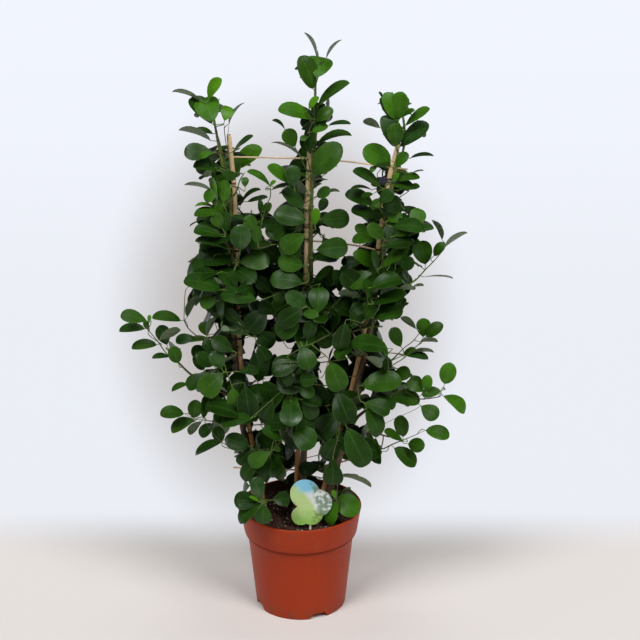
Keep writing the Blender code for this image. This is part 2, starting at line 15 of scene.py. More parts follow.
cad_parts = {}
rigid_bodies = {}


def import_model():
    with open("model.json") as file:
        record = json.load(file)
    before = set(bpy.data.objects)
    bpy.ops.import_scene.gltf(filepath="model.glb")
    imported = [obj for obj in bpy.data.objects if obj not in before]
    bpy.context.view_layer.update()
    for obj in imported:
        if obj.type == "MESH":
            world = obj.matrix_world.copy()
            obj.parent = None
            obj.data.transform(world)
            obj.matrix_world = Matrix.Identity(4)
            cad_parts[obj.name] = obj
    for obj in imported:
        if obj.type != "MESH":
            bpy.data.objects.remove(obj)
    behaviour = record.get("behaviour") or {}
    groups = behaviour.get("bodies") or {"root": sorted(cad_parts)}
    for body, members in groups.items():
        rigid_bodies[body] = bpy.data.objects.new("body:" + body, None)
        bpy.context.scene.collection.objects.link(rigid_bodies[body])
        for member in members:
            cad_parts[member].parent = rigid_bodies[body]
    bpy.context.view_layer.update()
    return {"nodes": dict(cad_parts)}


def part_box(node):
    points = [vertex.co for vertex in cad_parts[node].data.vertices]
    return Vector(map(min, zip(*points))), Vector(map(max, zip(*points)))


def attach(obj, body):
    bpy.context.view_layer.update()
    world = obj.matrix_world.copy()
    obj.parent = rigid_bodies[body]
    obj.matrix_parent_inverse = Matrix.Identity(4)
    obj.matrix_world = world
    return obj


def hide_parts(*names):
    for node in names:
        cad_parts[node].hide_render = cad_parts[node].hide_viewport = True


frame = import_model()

SEED = 41
BODY = "root"
UP = Vector((0.0, 0.0, 1.0))

# Camera, as it stood for the photograph
PHOTO_SIZE = 640
CAMERA_PLACE = Vector((0.0335, -2.5, 1.407))
CAMERA_PITCH = math.radians(19.52)
FOCAL_PIXELS = 1599.0
SENSOR_WIDTH = 36.0
FORWARD = Vector((0.0, math.cos(CAMERA_PITCH), -math.sin(CAMERA_PITCH)))
UPWARD = Vector((0.0, math.sin(CAMERA_PITCH), math.cos(CAMERA_PITCH)))

# Studio: each light's azimuth, elevation, strength and colour; the floor, and where its glow begins
SUN_SPREAD = math.radians(24)
SUNS = {
    "front_left": (-34, 52, 1.85, (0.99, 1.0, 1.0)),
    "front_right": (38, 48, 1.75, (1.0, 1.0, 0.99)),
    "overhead": (175, 80, 0.50, (1.0, 1.0, 0.99)),
}
WORLD_COLOUR = (0.97, 0.98, 1.0, 1.0)
WORLD_STRENGTH = 0.10
FLOOR_REACH = 14.0
FLOOR_GLOW = (0.16, 0.36)
DOME_RADIUS = 13.5
DOME_COLOUR = (0.86, 0.88, 0.93)

# The soft shade behind the plant, in pixels of the photograph: its middle and how far it reaches
SHADE_MIDDLE = (284, 320)
SHADE_REACH = (188, 245)
SHADE_EDGE = (0.05, 1.05)
WALL_ROWS = (20, 340)

# Pot
POT_HEIGHT = 0.184
POT_RIM_RADIUS = 0.105
POT_BASE_RADIUS = 0.0778
POT_WALL = 0.0022
POT_LIP = 0.0016
POT_LIP_INSET = 0.0006
COLLAR_BOTTOM = 0.138
COLLAR_BOTTOM_RADIUS = 0.0978
COLLAR_EDGE = 0.0014
COLLAR_EDGE_HEIGHT = 0.003
COLLAR_STEP = 0.0062
COLLAR_CURVE = 0.005
STEP_LENGTH = 0.009
COLLAR_HEIGHTS = (0.172, 0.160, 0.150)
BODY_HEIGHTS = (0.100, 0.075, 0.050, 0.025, 0.006)
FLOOR_TOP = 0.0105
FLOOR_UNDERSIDE = 0.008
FLOOR_DRAFT = 0.003
FOOT_WIDTH = 0.007
FOOT_EDGE = 0.0012
CENTRE_PAD_RADIUS = 0.024
POT_STEPS = 120
NOTCH_COUNT = 4
NOTCH_WIDTH = 0.034
NOTCH_HEIGHT = 0.0096
NOTCH_TOP_SHARE = 0.62
NOTCH_DEPTH = 0.020
NOTCH_CUT_IN = 0.004
NOTCH_FIRST_ANGLE = math.radians(-66)

# Soil
SOIL_TOP = 0.168
SOIL_RADIUS = 0.1005
SOIL_EDGE_DROP = 0.003
SOIL_HEAP = 0.0016
SOIL_DEPTH = 0.018
SOIL_TAPER = 0.0015
SOIL_RINGS = 46
SOIL_STEPS = 110
SOIL_WAVES = ((60.0, 0.0022), (190.0, 0.0011))
CRUMB_COUNT = 620
CRUMB_SIZES = (0.0007, 0.0030)
PERLITE_COUNT = 190
PERLITE_SIZES = (0.0006, 0.0021)
CHIP_COUNT = 130
CHIP_LENGTHS = (0.004, 0.012)
CHIP_WIDTHS = (0.0008, 0.0024)
CHIP_THICKNESSES = (0.0005, 0.0014)

# Canes, with their joints and the dark rings on them
CANE_FOOT_RADIUS = 0.0044
CANE_TIP_RADIUS = 0.0038
CANE_SUNK = 0.006
CANE_WANDER = 0.0005
CANE_STEPS = 190
CANE_SECTION = 18
JOINT_GAPS = (0.075, 0.115)
JOINT_LENGTH = 0.0032
JOINT_SWELL = 0.13
GROOVE_ABOVE = 0.0042
GROOVE_LENGTH = 0.0012
GROOVE_DEPTH = 0.09
RING_ABOVE = 0.0030
RING_HALF = 0.0017

# Split crossbars
CROSSBAR_RADIUS = 0.0015
CROSSBAR_FLAT = 0.35
CROSSBAR_WANDER = 0.0007
CROSSBAR_SECTION = 10

# Stems, with the rings of their old leaves
STEM_SUNK = 0.004
STEM_STEPS = 260
STEM_SECTION = 16
STEM_BARK = 0.00045
SCAR_GAPS = (0.018, 0.040)
SCAR_LENGTH = 0.0022
SCAR_SWELL = 0.10
STEM_FOOT_RADIUS = 0.0064
STEM_TIP_RADIUS = 0.0016
STEM_FLARE = 0.0036
STEM_FLARE_HEIGHT = 0.012
STEM_TO_CANE = 0.0008

# Boughs, and the relief of all bark: the scale and share of each grain
BOUGH_TIP_RADIUS = 0.0012
BOUGH_SECTION = 12
BOUGH_BARK = 0.00028
BARK_GRAINS = ((210.0, 1.0), (480.0, 0.6))
BARK_STRETCH = 0.45

# Routes of canes, stems, crossbars, ties and boughs, as the frame has them
GAP = 0.0003
SIDES = ("left", "centre", "right")
CANE_ROUTES = {
    "left": (
        (-0.0620, 0.000, 0.1695),
        (-0.0820, 0.000, 0.298),
        (-0.0890, 0.000, 0.343),
        (-0.1000, 0.000, 0.465),
        (-0.1025, 0.000, 0.628),
        (-0.1050, 0.000, 0.750),
        (-0.1120, 0.000, 0.834),
    ),
    "centre": (
        (-0.0085, 0.000, 0.1695),
        (-0.0050, 0.000, 0.268),
        (0.0030, 0.000, 0.430),
        (0.0100, 0.000, 0.582),
        (0.0120, 0.000, 0.711),
        (0.0180, 0.000, 0.822),
    ),
    "right": (
        (0.0290, 0.000, 0.1695),
        (0.0620, -0.007, 0.301),
        (0.0850, -0.013, 0.397),
        (0.1070, -0.020, 0.509),
        (0.1280, -0.030, 0.660),
        (0.1410, -0.036, 0.761),
        (0.1570, -0.040, 0.830),
    ),
}
STEM_SIDES = {"left": math.radians(190), "centre": math.radians(-20), "right": math.radians(-12)}
STEM_LEAVES_CANE = {"left": 0.735, "centre": 0.790, "right": 0.788}
STEM_TIPS = {
    "left": ((-0.1230, -0.002, 0.785), (-0.1300, -0.004, 0.830), (-0.1380, -0.004, 0.885)),
    "centre": ((0.0270, -0.004, 0.845), (0.0260, -0.004, 0.905), (0.0300, -0.004, 0.958)),
    "right": ((0.1630, -0.046, 0.815), (0.1660, -0.046, 0.848), (0.1600, -0.042, 0.890)),
}
CROSSBAR_ROUTES = {
    "upper": (
        (-0.1135, 0.000, 0.796), (0.0150, 0.000, 0.7935), (0.0860, -0.014, 0.791), (0.1720, -0.0415, 0.786),
    ),
    "middle": (
        (-0.1300, 0.000, 0.657), (0.0120, 0.000, 0.656), (0.0810, -0.014, 0.6535), (0.1330, -0.0315, 0.649),
    ),
    "lower": (
        (-0.1160, 0.001, 0.249), (-0.0060, 0.001, 0.245), (0.0490, -0.002, 0.256), (0.0820, -0.006, 0.266),
    ),
}
TIE_HEIGHTS = {"left": 0.489, "centre": 0.582, "right": 0.769}
TIE_RADIUS = 0.0009
TIE_CLEARANCE = 0.0009
WIRE_RADIUS = TIE_RADIUS * 0.8
WIRE_PITCH = TIE_RADIUS * 1.7
WIRE_TURNS = 2
WIRE_SECTION = 7
CLIP_LEVELS = (-0.0026, 0.0026)
CLIP_RADIUS = 0.0011
TAB_SIZE = (0.0125, 0.0014, 0.0085)
TAB_PLACE = Vector((-0.0095, -0.0030, 0.0))
TAB_APART = 0.0030
TAB_TURN = 0.42
TAB_TILT = math.radians(8)
PIN_PLACE = Vector((-0.0062, -0.0034, 0.0))
PIN_HALF = 0.0050
PIN_RADIUS = 0.0010
BOUGHS = {
    "left_high": (
        "left", 0.377, ((-0.143, -0.005, 0.401), (-0.185, -0.012, 0.431), (-0.222, -0.017, 0.478)), 0.0030,
    ),
    "left_low": ("left", 0.330, ((-0.124, -0.012, 0.366), (-0.150, -0.018, 0.370)), 0.0028),
    "right_high": ("right", 0.520, ((0.146, -0.032, 0.562), (0.190, -0.040, 0.606)), 0.0030),
    "right_middle": ("right", 0.385, ((0.120, -0.026, 0.430), (0.158, -0.038, 0.470)), 0.0028),
    "right_low": ("right", 0.338, ((0.125, -0.028, 0.381), (0.176, -0.040, 0.408)), 0.0030),
    "right_foot": ("right", 0.305, ((0.112, -0.028, 0.330), (0.150, -0.038, 0.326)), 0.0026),
    "rim_left": ("left", 0.186, ((-0.066, -0.024, 0.200), (-0.066, -0.048, 0.218)), 0.0024),
    "rim_right": ("right", 0.186, ((0.066, -0.008, 0.202), (0.076, -0.012, 0.218)), 0.0024),
}

# Label card and its stick
CARD_THICKNESS = 0.0008
CARD_MIDDLE = Vector((0.017, -0.060, 0.2145))
CARD_LEAN = math.radians(-9)
CARD_LOBES = (
    (-0.009, 0.016, 0.0250),
    (0.0135, 0.0, 0.0235),
    (-0.0155, -0.0225, 0.0165),
    (0.002, -0.019, 0.0195),
)
CARD_POINTS = 96
CARD_RIM = 0.03
CARD_BEND = 0.35
STICK_WIDTH = 0.0032
STICK_THICKNESS = 0.0012
STICK_TOP = 0.222
STICK_SUNK = 0.004
STICK_EDGE = 0.0003

# Leaves
LEAF_SLIMNESS = 0.66
LEAF_ROUNDEST = 0.80
LEAF_LENGTHS = (0.040, 0.056)
LEAF_WIDTHS = (0.010, 0.040)
STALK_LENGTH = 0.007
STALK_ALONG = 0.8
STALK_BELOW = 0.25
STALK_UNDER_BLADE = 0.04
PATTERN_COUNT = 12
OUTLINE_STATIONS = (0.0, 0.18, 0.4, 0.6, 0.8, 1.0)
OUTLINE_WEDGE = 0.9
BLADE_STATIONS = (0.0, 0.10, 0.23, 0.38, 0.54, 0.69, 0.82, 0.92, 0.978, 1.0)
BLADE_ACROSS = 4
BLADE_THICKNESS = 0.012
WAVES_ALONG = 13.0
WAVES_ACROSS = 2.0
BLADE_SHAPES = {
    "wedge": (0.62, 0.92),
    "fold": (0.12, 0.32),
    "crown": (0.035, 0.085),
    "bow": (-0.03, 0.11),
    "twist": (-0.12, 0.12),
    "wave": (0.0, 0.012),
}
STALK_RADII = (0.00075, 0.00062, 0.00058, 0.00060, 0.00066)
STALK_SECTION = 5
BUD_RADII = (0.0014, 0.0016, 0.0015, 0.0012, 0.0009, 0.0006, 0.0002)
BUD_ENDS = (-0.001, 0.012)
BUD_SECTION = 8

# How leaves fill the masses: shares of the ways out, up, away from the wood and of chance
FACING = {"out": 0.60, "up": 0.62, "chance": 0.24}
POINTING = {"away": 0.90, "out": 0.25, "chance": 0.28}
FILL_SLIMNESS = (0.60, 0.80)
FILL_STRAY = 0.1
HULL_CELL = 4
UPRIGHT_SIDE = 0.3
HULL_SLACK = 0.16
SPRAY_DEPTH = 0.016
CLEAR_BEFORE = 0.012
FILL_SPACING = 0.0165
FILL_SHELL = 0.036
FILL_TRIES = 16000
DENSE_EDGE = 2
AIRY_EDGE = 6
AIRY_ABOVE = 216
DARKEN_ROUNDS = 18
DARKEN_DEPTHS = (-0.03, 0.09)
DARKEN_WAY = Vector((0.0, -0.8, 0.2))
DARKEN_SPACING = 0.011
DARKEN_LENGTHS = (0.028, 0.044)
FRONT_LIMIT = -0.142
BACK_LIMIT = 0.1405

# How twigs grow: what turning, hanging, growing inwards and growing backwards cost a new one
TURN_COST = 0.35
HANG_COST = 0.5
INWARD_COST = 2
INWARD_MARGIN = 0.004
BACKWARD_COST = 1.5
TWIGS_FROM = 0.03
LIMB_STEP = 0.006
TWIG_STEP = 0.008
TWIG_KEEPS_WAY = 0.3
TWIG_BEND = 0.010
TWIG_REACH = 0.058
TWIG_SECTION = 6
TWIG_RADIUS = 0.00042
TWIG_GAIN = 0.00024
TWIG_POWER = 0.6
TWIG_FULL_LOAD = 14
WOOD_ROOM = 40000

DEEP, DARK, MID, FRESH, LIME, SHEEN = "deep", "dark", "mid", "fresh", "lime", "sheen"
PALE = "pale"
# Tints dealt to filling leaves, with their weights; the darker mixes in front, below LOW_BELOW and deep
# inside the foliage are painted shade.
FRONT_TINTS = ((DEEP, DARK, MID), (46, 38, 16))
BACK_TINTS = ((DEEP, DARK, MID, FRESH, LIME, SHEEN), (20, 34, 27, 12, 2, 5))
LOW_TINTS = ((DEEP, DARK, MID), (55, 36, 9))
LOW_BELOW = 0.56
INNER_TINTS = ((DEEP, DARK), (80, 20))

# Leaves that the photograph shows one by one, in its pixels: foot, tip, width seen and tint.
# A seventh value brings a leaf forward or sets it back by that many millimetres.
# Each tint follows how bright the leaf looks there, so it holds painted light and shade as well as the
# leaf's own colour.
SEEN_LEAVES = {
    "left_tip": (
        (208.5, 100, 221.5, 78.5, 11, LIME), (200, 101.5, 172, 92, 5, PALE),
        (204, 101, 192, 98, 5, SHEEN, -10), (213, 122, 205, 100, 28, FRESH, 24),
        (212, 124, 189, 99, 17, DARK, -10), (224.5, 121, 228, 108, 14, LIME), (229, 124, 245, 103, 3, PALE),
        (211, 141, 178.5, 130.5, 7, PALE, 6), (213, 134, 194, 131, 6, MID),
        (213, 153, 184, 152, 18, DARK, 8), (212, 153, 199.5, 157.5, 7, FRESH, 15),
        (222, 172, 193, 166, 12, DARK), (213, 170, 204, 177, 6, PALE), (222, 172, 236, 178, 10, DARK, 10),
        (233, 152, 253.5, 136, 5, SHEEN, -20), (236, 168, 262, 148, 17, LIME, -96),
        (270, 186, 247, 171.5, 7, FRESH), (270, 186, 276, 181, 4, LIME),
    ),
    "left_column": (
        (212, 191, 184, 185.5, 5, PALE), (220, 188, 205, 201, 12, FRESH), (217, 201, 213.5, 177, 7, LIME),
        (224, 202, 226, 180, 13, FRESH, 8), (216, 209, 195, 206.5, 2, LIME),
        (218, 214, 221, 199, 12, FRESH, 6), (219, 214, 194, 215, 10, MID),
        (204, 219, 190, 226.5, 1.5, PALE), (222, 228, 213, 213, 13, MID), (226, 232, 226, 211, 12, DARK),
        (222, 237, 193.5, 231, 13, DARK), (228, 249, 195, 241, 8, DARK), (226, 254, 204, 249, 8, DARK),
        (209, 253, 199, 256.5, 1.5, PALE), (233, 263, 202.5, 262, 14.5, DEEP),
        (240, 250, 241, 224, 21, SHEEN, 10), (232, 216, 250, 223, 5, DARK), (256, 231, 246, 216, 14, MID),
        (258, 243, 256, 225, 12, MID), (271, 245, 249, 245, 12, DARK), (239, 262, 270, 261, 19, MID, 10),
        (240, 206, 240, 195, 7, SHEEN, -60), (241, 204, 261, 190, 5, DARK, -40),
        (247, 202, 268, 197.5, 5, DARK, -30), (261, 214, 259, 200, 6, SHEEN), (264, 216, 271, 203, 8, MID),
        (245, 187, 245, 178, 8, MID), (271, 190, 288, 185, 4, DARK), (223, 284, 211, 279, 5, PALE, -10),
        (221, 290, 183.5, 281, 18, DARK), (217, 301, 200, 303, 14, MID), (187.5, 317, 198, 296, 8, PALE),
        (222, 322, 222, 292, 9, DEEP), (235, 289, 234, 270, 10, DARK), (257, 300, 221, 295, 18, DARK, 10),
        (238, 322, 226, 309, 12, DEEP), (266, 309, 250, 329, 23, DEEP, 6), (271, 292, 256, 278, 14, DEEP),
        (276, 314, 258, 303, 14, DEEP),
    ),
    "centre_tip": (
        (316.5, 58.5, 303.5, 32.5, 3, PALE), (326, 59, 342.5, 40, 4, PALE), (313, 89, 300, 56, 20, MID),
        (317, 78, 321, 59, 27, FRESH, 8), (318, 107, 350, 83, 9, MID), (309, 109, 319, 97, 7, LIME, 6),
        (312, 119, 278, 109, 15, FRESH), (316, 121, 333, 109, 13, MID), (312, 132, 328, 126, 9, FRESH),
        (328, 126, 351, 124.5, 4, DARK), (285, 130, 272, 120.5, 3, DARK), (295, 147, 286, 129, 16, FRESH),
        (301, 157, 271, 143, 4, PALE), (308, 137, 300, 139, 6, FRESH), (310, 155, 312, 127, 11, DARK, 4),
        (307, 152, 304, 136, 8, DARK), (315, 147, 352, 136, 9, MID), (312.5, 174, 341, 144, 25, MID, 6),
    ),
    "centre_column": (
        (312, 181, 327, 180.5, 2, PALE), (311, 190, 322, 184, 2, DARK), (317, 197, 330, 188, 11, MID),
        (322, 196, 340, 192, 2.5, PALE), (320, 211, 326, 198, 10, SHEEN), (315, 225, 315, 208, 9, LIME, 6),
        (320, 220, 349.5, 218, 20, DARK), (287, 182, 267.5, 166, 12, FRESH),
        (294.5, 187, 292, 165, 15, SHEEN), (304, 208, 282, 190, 14, SHEEN), (306, 175, 301, 175, 4, DARK),
        (306, 221, 274, 214, 20, DARK, 4), (261, 224, 283, 225, 15, DARK), (305, 234, 281, 250, 20, MID, 4),
        (303, 266, 278, 260, 19, MID, 8), (282, 262, 264, 247, 18, DEEP, -22),
        (261, 276, 281, 269, 14, DEEP, -22), (277, 300, 257, 290, 14, DEEP, -14),
        (303, 283, 270, 280, 20, DARK, 4), (306, 306, 286, 293, 16, SHEEN, 8),
        (318, 313, 319, 291, 21, DARK, 4), (316, 250, 348, 247, 21, DARK, 4), (312, 258, 337, 261, 8, DEEP),
        (340, 292, 333, 270, 11, SHEEN, 6), (313, 282, 334, 268, 9, DEEP), (362, 290, 342, 271, 21, DEEP),
        (363, 262, 341, 263, 11, DEEP), (362, 298, 338, 294, 7, PALE, 8), (333, 308, 351, 308, 17, DARK),
        (363, 305, 352, 312, 13, DEEP), (303, 314, 318, 314, 10, MID), (302, 309, 279, 324, 20, DEEP),
        (284, 292, 274, 300, 9, DARK),
    ),
    "right_tip": (
        (383, 100, 378.5, 92, 3, DARK), (398, 124, 380, 98, 15, DARK, -14), (397, 120, 384, 93, 17, FRESH),
        (399, 120, 402, 91.5, 17, FRESH, 5), (396, 147, 382, 116, 18, SHEEN, 6),
        (380, 128, 363, 121, 8, PALE), (397, 146, 394, 123, 17, MID, 16), (402, 117, 415, 110, 5, FRESH),
        (405, 126, 430, 108.5, 9, FRESH), (400, 147, 429, 124, 16, SHEEN),
        (391, 161, 363, 149, 22, FRESH, 6), (391, 166, 375, 163, 8, DARK), (377, 167, 370, 171, 6, FRESH),
        (396, 167, 408, 153, 11, FRESH), (410, 158.5, 434, 156.5, 4, DARK), (411, 173.5, 424, 171, 2, PALE),
        (397, 181, 420, 177.5, 8, MID), (393, 182, 399, 173, 6, FRESH), (405, 190, 420, 186.5, 6, MID),
        (392, 186, 414, 188, 9, MID),
    ),
    "right_column": (
        (381, 188, 352.5, 171, 12, DARK), (372, 190, 350, 190.5, 2, DARK), (373, 205, 345, 194, 14, DARK),
        (379, 217, 351, 210, 13, DEEP, 4), (373, 194, 361, 198, 6, DARK), (379, 203, 393, 190, 13, DARK),
        (382, 206, 401, 203, 18, DEEP), (388, 221, 401, 213, 13, FRESH), (404, 214, 409, 212.5, 1.5, PALE),
        (413, 226, 420, 211, 17, FRESH), (392, 227, 424, 229, 14, DARK, 6), (395, 236, 412, 229, 10, MID),
        (406, 236, 434, 228.5, 7, SHEEN), (384, 246, 412.5, 242, 14, DEEP, 6),
        (381, 268, 406, 252, 11, MID, 6), (397, 258, 413, 266, 15, DARK), (415, 264, 422, 268, 2, PALE),
        (369, 233, 355, 226, 11, MID), (383, 238, 368, 224, 14, MID), (377, 240, 352, 241, 12, MID),
        (376, 270, 353, 253, 14, FRESH, 6), (377, 270, 372, 250, 8, MID), (371, 288, 402, 280, 17, DARK, 6),
        (399, 288.5, 414, 289, 5, PALE), (413, 287, 424, 285.5, 3, PALE), (373, 304, 407, 294, 12, DARK),
        (374, 318, 402, 312, 15, DARK), (365, 320, 378, 300, 14, DARK), (352, 328, 362, 306, 15, DARK),
        (371, 300, 363, 280, 9, DARK), (376, 327, 383, 327, 2, PALE),
    ),
    "left_sprays": (
        (147, 321, 120.5, 315, 14, MID), (145, 329, 119, 331, 10, MID), (149, 323, 150.5, 315, 4, LIME),
        (148, 330, 146, 320, 6, MID), (181, 321, 152, 317.5, 11, MID), (167, 345, 160, 325, 15, SHEEN),
        (160, 340, 180, 329, 9, PALE, 22), (157, 345, 131.5, 348, 11, MID), (169, 357, 152, 358, 6, SHEEN),
        (178, 363, 172, 346, 14, MID, 8), (196, 338, 175.5, 341, 11, SHEEN),
        (211, 340, 188.5, 342, 7, FRESH, 14), (207, 336, 203, 323, 12, MID), (207, 336, 216, 317, 7, PALE),
        (189, 384, 171.5, 391, 7, MID), (184, 414, 160, 413.5, 13, MID), (195, 420, 171, 431, 13, MID),
        (202, 421, 190, 435, 8, PALE), (214, 424, 200, 436, 12, DEEP), (194, 418, 196, 401, 15, MID),
        (204, 418, 204, 396, 10, MID), (221, 442, 216, 426, 13, DARK), (222, 442, 195.5, 455, 10, DARK),
    ),
    "lower_left": (
        (224, 322, 217, 319, 5, DEEP), (230, 330, 221, 328, 6, PALE), (233, 351, 212, 339, 16, DEEP),
        (210, 351, 191, 352, 14, DARK), (213, 366, 197, 353, 15, DARK), (215, 350, 203, 341, 12, DEEP),
        (222, 369, 214, 352, 16, SHEEN, 8), (204, 370, 194, 355, 12, DARK),
        (223, 373, 203, 392, 24, MID, 10), (207, 374, 187, 388, 15, DARK, 2),
        (245, 418, 205, 406, 18, DEEP), (252, 418, 221, 424, 16, DARK, 4),
        (249, 446, 225, 438, 18, DEEP, 4), (249, 452, 238, 464, 12, DEEP),
        (257, 461, 243, 480, 15, DEEP, 2), (270, 452, 249, 464, 17, MID, 6),
        (277, 452, 281, 481, 13, MID, 8), (270, 458, 264, 482, 14, DEEP), (281, 440, 262, 429, 11, DARK, 6),
        (272, 448, 257, 437, 11, DEEP), (245, 386, 249, 414, 22, DEEP, 4), (232, 388, 236, 410, 16, MID),
        (272, 401, 262, 419, 17, DEEP, 4), (281, 390, 260.5, 390, 18, DARK, 10),
        (258, 382, 263, 352, 20, DEEP), (240, 372, 259, 371, 10, DEEP, 6), (300, 364, 272, 372, 18, DEEP),
        (258, 345, 268, 362, 16, DEEP), (256, 332, 274, 345, 18, DEEP),
    ),
    "lower_centre": (
        (299, 318, 277, 335, 22, DARK, 8), (307, 341, 311, 320, 14, DEEP), (321, 327, 327, 346, 18, DARK),
        (302, 346, 309, 366, 20, DARK, 4), (345, 323, 338, 350, 18, DEEP), (330, 362, 341, 391, 23, MID, 6),
        (318, 378, 300, 381, 14, DARK, 4), (299, 388, 314, 394, 14, DARK), (316, 386, 326, 398, 12, DEEP),
        (291, 402, 291, 421, 23, SHEEN, 8), (338, 412, 318, 436, 27, DEEP, 4),
        (293, 428, 312, 444, 24, DARK, 12), (337, 438, 325, 460, 19, DEEP),
        (320, 467, 299, 470, 15, DEEP, 26), (303, 476, 286, 482, 10, DEEP, -20),
        (318, 479, 302, 480, 9, DEEP, -10), (333, 459, 333, 485, 21, DEEP, 14),
        (276, 443, 279, 452, 6, MID, 6), (285, 440, 288, 460, 9, DEEP), (304, 402, 316, 418, 16, DEEP),
        (281, 366, 292, 384, 14, DEEP), (300, 400, 322, 404, 12, DEEP),
    ),
    "lower_right": (
        (388, 349, 351, 344, 18, DARK, 6), (365, 357, 381, 368, 8, PALE), (362, 386, 402, 381, 22, MID, 8),
        (391, 397, 420, 401, 17, MID, 6), (337, 392, 348, 419, 26, DEEP, 4), (364, 403, 390, 412, 16, DARK),
        (366, 408, 379, 436, 18, DARK, 6), (346, 414, 357, 421, 10, DEEP),
        (347, 428, 366, 466, 30, DARK, 8), (376, 438, 378, 464, 13, DARK, 4), (403, 441, 384, 431, 9, MID),
        (403, 437, 401, 415, 15, MID), (343, 477, 371, 487.5, 5, PALE), (397, 369, 408, 376, 15, MID),
        (408, 388, 418, 379, 13, MID), (333, 330, 340, 312, 10, DEEP), (385, 357, 380, 362, 5, PALE),
    ),
    "right_sprays": (
        (442, 240, 432, 220, 6, PALE), (425.5, 264.5, 421, 244, 20, MID), (434, 256, 445, 243, 10, MID),
        (445, 247, 468, 233, 6, PALE), (423, 277, 453, 279, 2, PALE), (401, 347, 391, 328, 14, MID),
        (416, 329, 401, 317, 7, PALE), (423, 337, 424, 318, 15, FRESH), (426, 337, 443, 324, 13, MID, 6),
        (420, 342, 438, 342, 4.5, PALE), (403, 356, 416, 349, 6, FRESH), (407, 356, 434, 352.5, 5, PALE),
        (406, 356, 428.5, 359, 7, SHEEN, 4), (427, 392, 429, 375, 11, FRESH), (424, 391, 406, 383, 12, MID),
        (421, 388, 414, 376, 10, DARK), (441, 391, 422, 395, 11, MID, 4),
        (444.5, 384, 451, 362.5, 17, FRESH), (443, 396, 465, 412, 13, FRESH), (421, 406, 436, 416, 17, MID),
        (425.5, 430.5, 449.5, 436, 15, FRESH), (408, 444, 424, 446, 15, MID),
        (394, 448, 416, 465, 16, MID, 4),
    ),
    "rim": (
        (260, 501, 234, 500, 19, DEEP), (262, 500, 253, 477.5, 15, SHEEN, 8),
        (259, 502, 249, 497, 4, LIME, 8), (262, 504, 239, 522, 15, DARK, 4),
        (263, 503, 263, 524, 17, DARK, 6), (273, 500, 289, 498, 15, DEEP),
        (338, 501, 329, 524, 15, FRESH, 44), (337, 497, 356, 511, 22, FRESH),
        (336, 499, 334, 490, 6, LIME, 30),
    ),
}

# Twigs that the photograph shows bare, in its pixels, from the limb outwards
SEEN_TWIGS = (
    ((190, 374), (178, 363), (171, 358), (166, 353), (161, 346), (155, 338), (149, 331)),
    ((203, 338), (197, 336), (188, 328), (184, 320)),
    ((220, 421.5), (210, 421), (200, 419.5), (193, 418), (185, 414)),
    ((239, 453), (230, 447), (221, 442)),
    ((409, 284), (416, 280), (425, 270), (433, 262), (440, 254), (444, 249)),
    ((384, 368), (395, 357), (404, 348), (412, 342), (418, 335)),
    ((387, 369), (396, 363), (404, 358), (412, 350), (418, 345), (426, 337)),
    ((391, 396), (404, 388.5)),
    ((420, 399), (432, 398), (440.5, 396), (441, 391), (444, 386)),
    ((382, 449), (393, 444), (403, 440), (413, 436), (425, 430.5)),
    ((385, 424), (394, 419), (403, 415), (412, 411), (421, 406)),
    ((291, 428), (280, 442), (275, 451), (269, 453)),
    ((226, 170), (224, 160), (219, 140), (213, 123)),
    ((228, 156), (226, 143), (224.5, 132), (224, 123)),
    ((228, 150), (227.5, 138), (229, 126)),
    ((234, 195), (237, 190), (240, 180), (245, 172)),
    ((262, 221), (264, 213), (268, 202), (270.5, 196), (270.5, 186)),
    ((307, 170), (304, 165), (301, 158), (298, 153), (295, 147)),
    ((304, 210), (295, 195), (288, 184)),
)

# Places where the photograph shows sky through the foliage, in its pixels
SKY_GAPS = (
    (244, 338, 254, 362), (271, 343, 290, 357), (248, 379, 260, 385), (262, 376, 271, 381),
    (278, 298, 285, 304), (313, 262, 336, 272), (313, 272, 321, 279), (326, 229, 352, 240),
    (312, 235, 320, 252), (350, 222, 356, 238), (246, 288, 252, 292),
    (340, 358, 346, 372), (321, 346, 331, 357), (319, 325, 326, 330), (349, 331, 355, 338),
    (363, 368, 369, 374), (360, 391, 371, 397), (356, 411, 366, 427), (385, 414, 394, 430),
    (374, 437, 386, 446), (301, 451, 320, 461), (288, 455, 293, 467), (284, 469, 293, 476),
    (254, 419, 261, 430), (274, 423, 280, 430), (230, 373, 236, 384), (206, 393, 211, 399),
    (223, 396, 234, 405), (238, 427, 247, 436), (373, 297, 382, 303), (205, 362, 218, 370),
    (242, 176, 262, 196), (236, 206, 258, 214), (345, 100, 360, 230), (262, 60, 275, 160),
    (341, 461, 360, 475), (340, 482, 350, 488), (352, 163, 369, 171), (375, 170, 385, 177),
    (404, 192, 412, 209), (426, 213, 431, 225), (212, 325, 220, 334),
)

# Stretches of cane, stem and soil that no leaf may stand in front of, in pixels
CLEAR_VIEWS = (
    (229, 134, 240, 169), (232, 181, 239, 214), (234, 251, 239, 265), (236, 338, 243, 354),
    (248, 425, 256, 449), (305, 156, 313, 208), (303, 248, 312, 289), (306, 208, 312, 248),
    (384, 177, 391, 198), (391, 144, 399, 176), (349, 357, 360, 392), (361, 326, 368, 336),
    (345, 242, 380, 250), (262, 157, 305, 160), (341, 423, 347, 432), (376, 240, 381, 250),
    (270, 500, 290, 530), (262, 484, 272, 498), (288, 476, 333, 530), (294, 455, 300, 476),
)


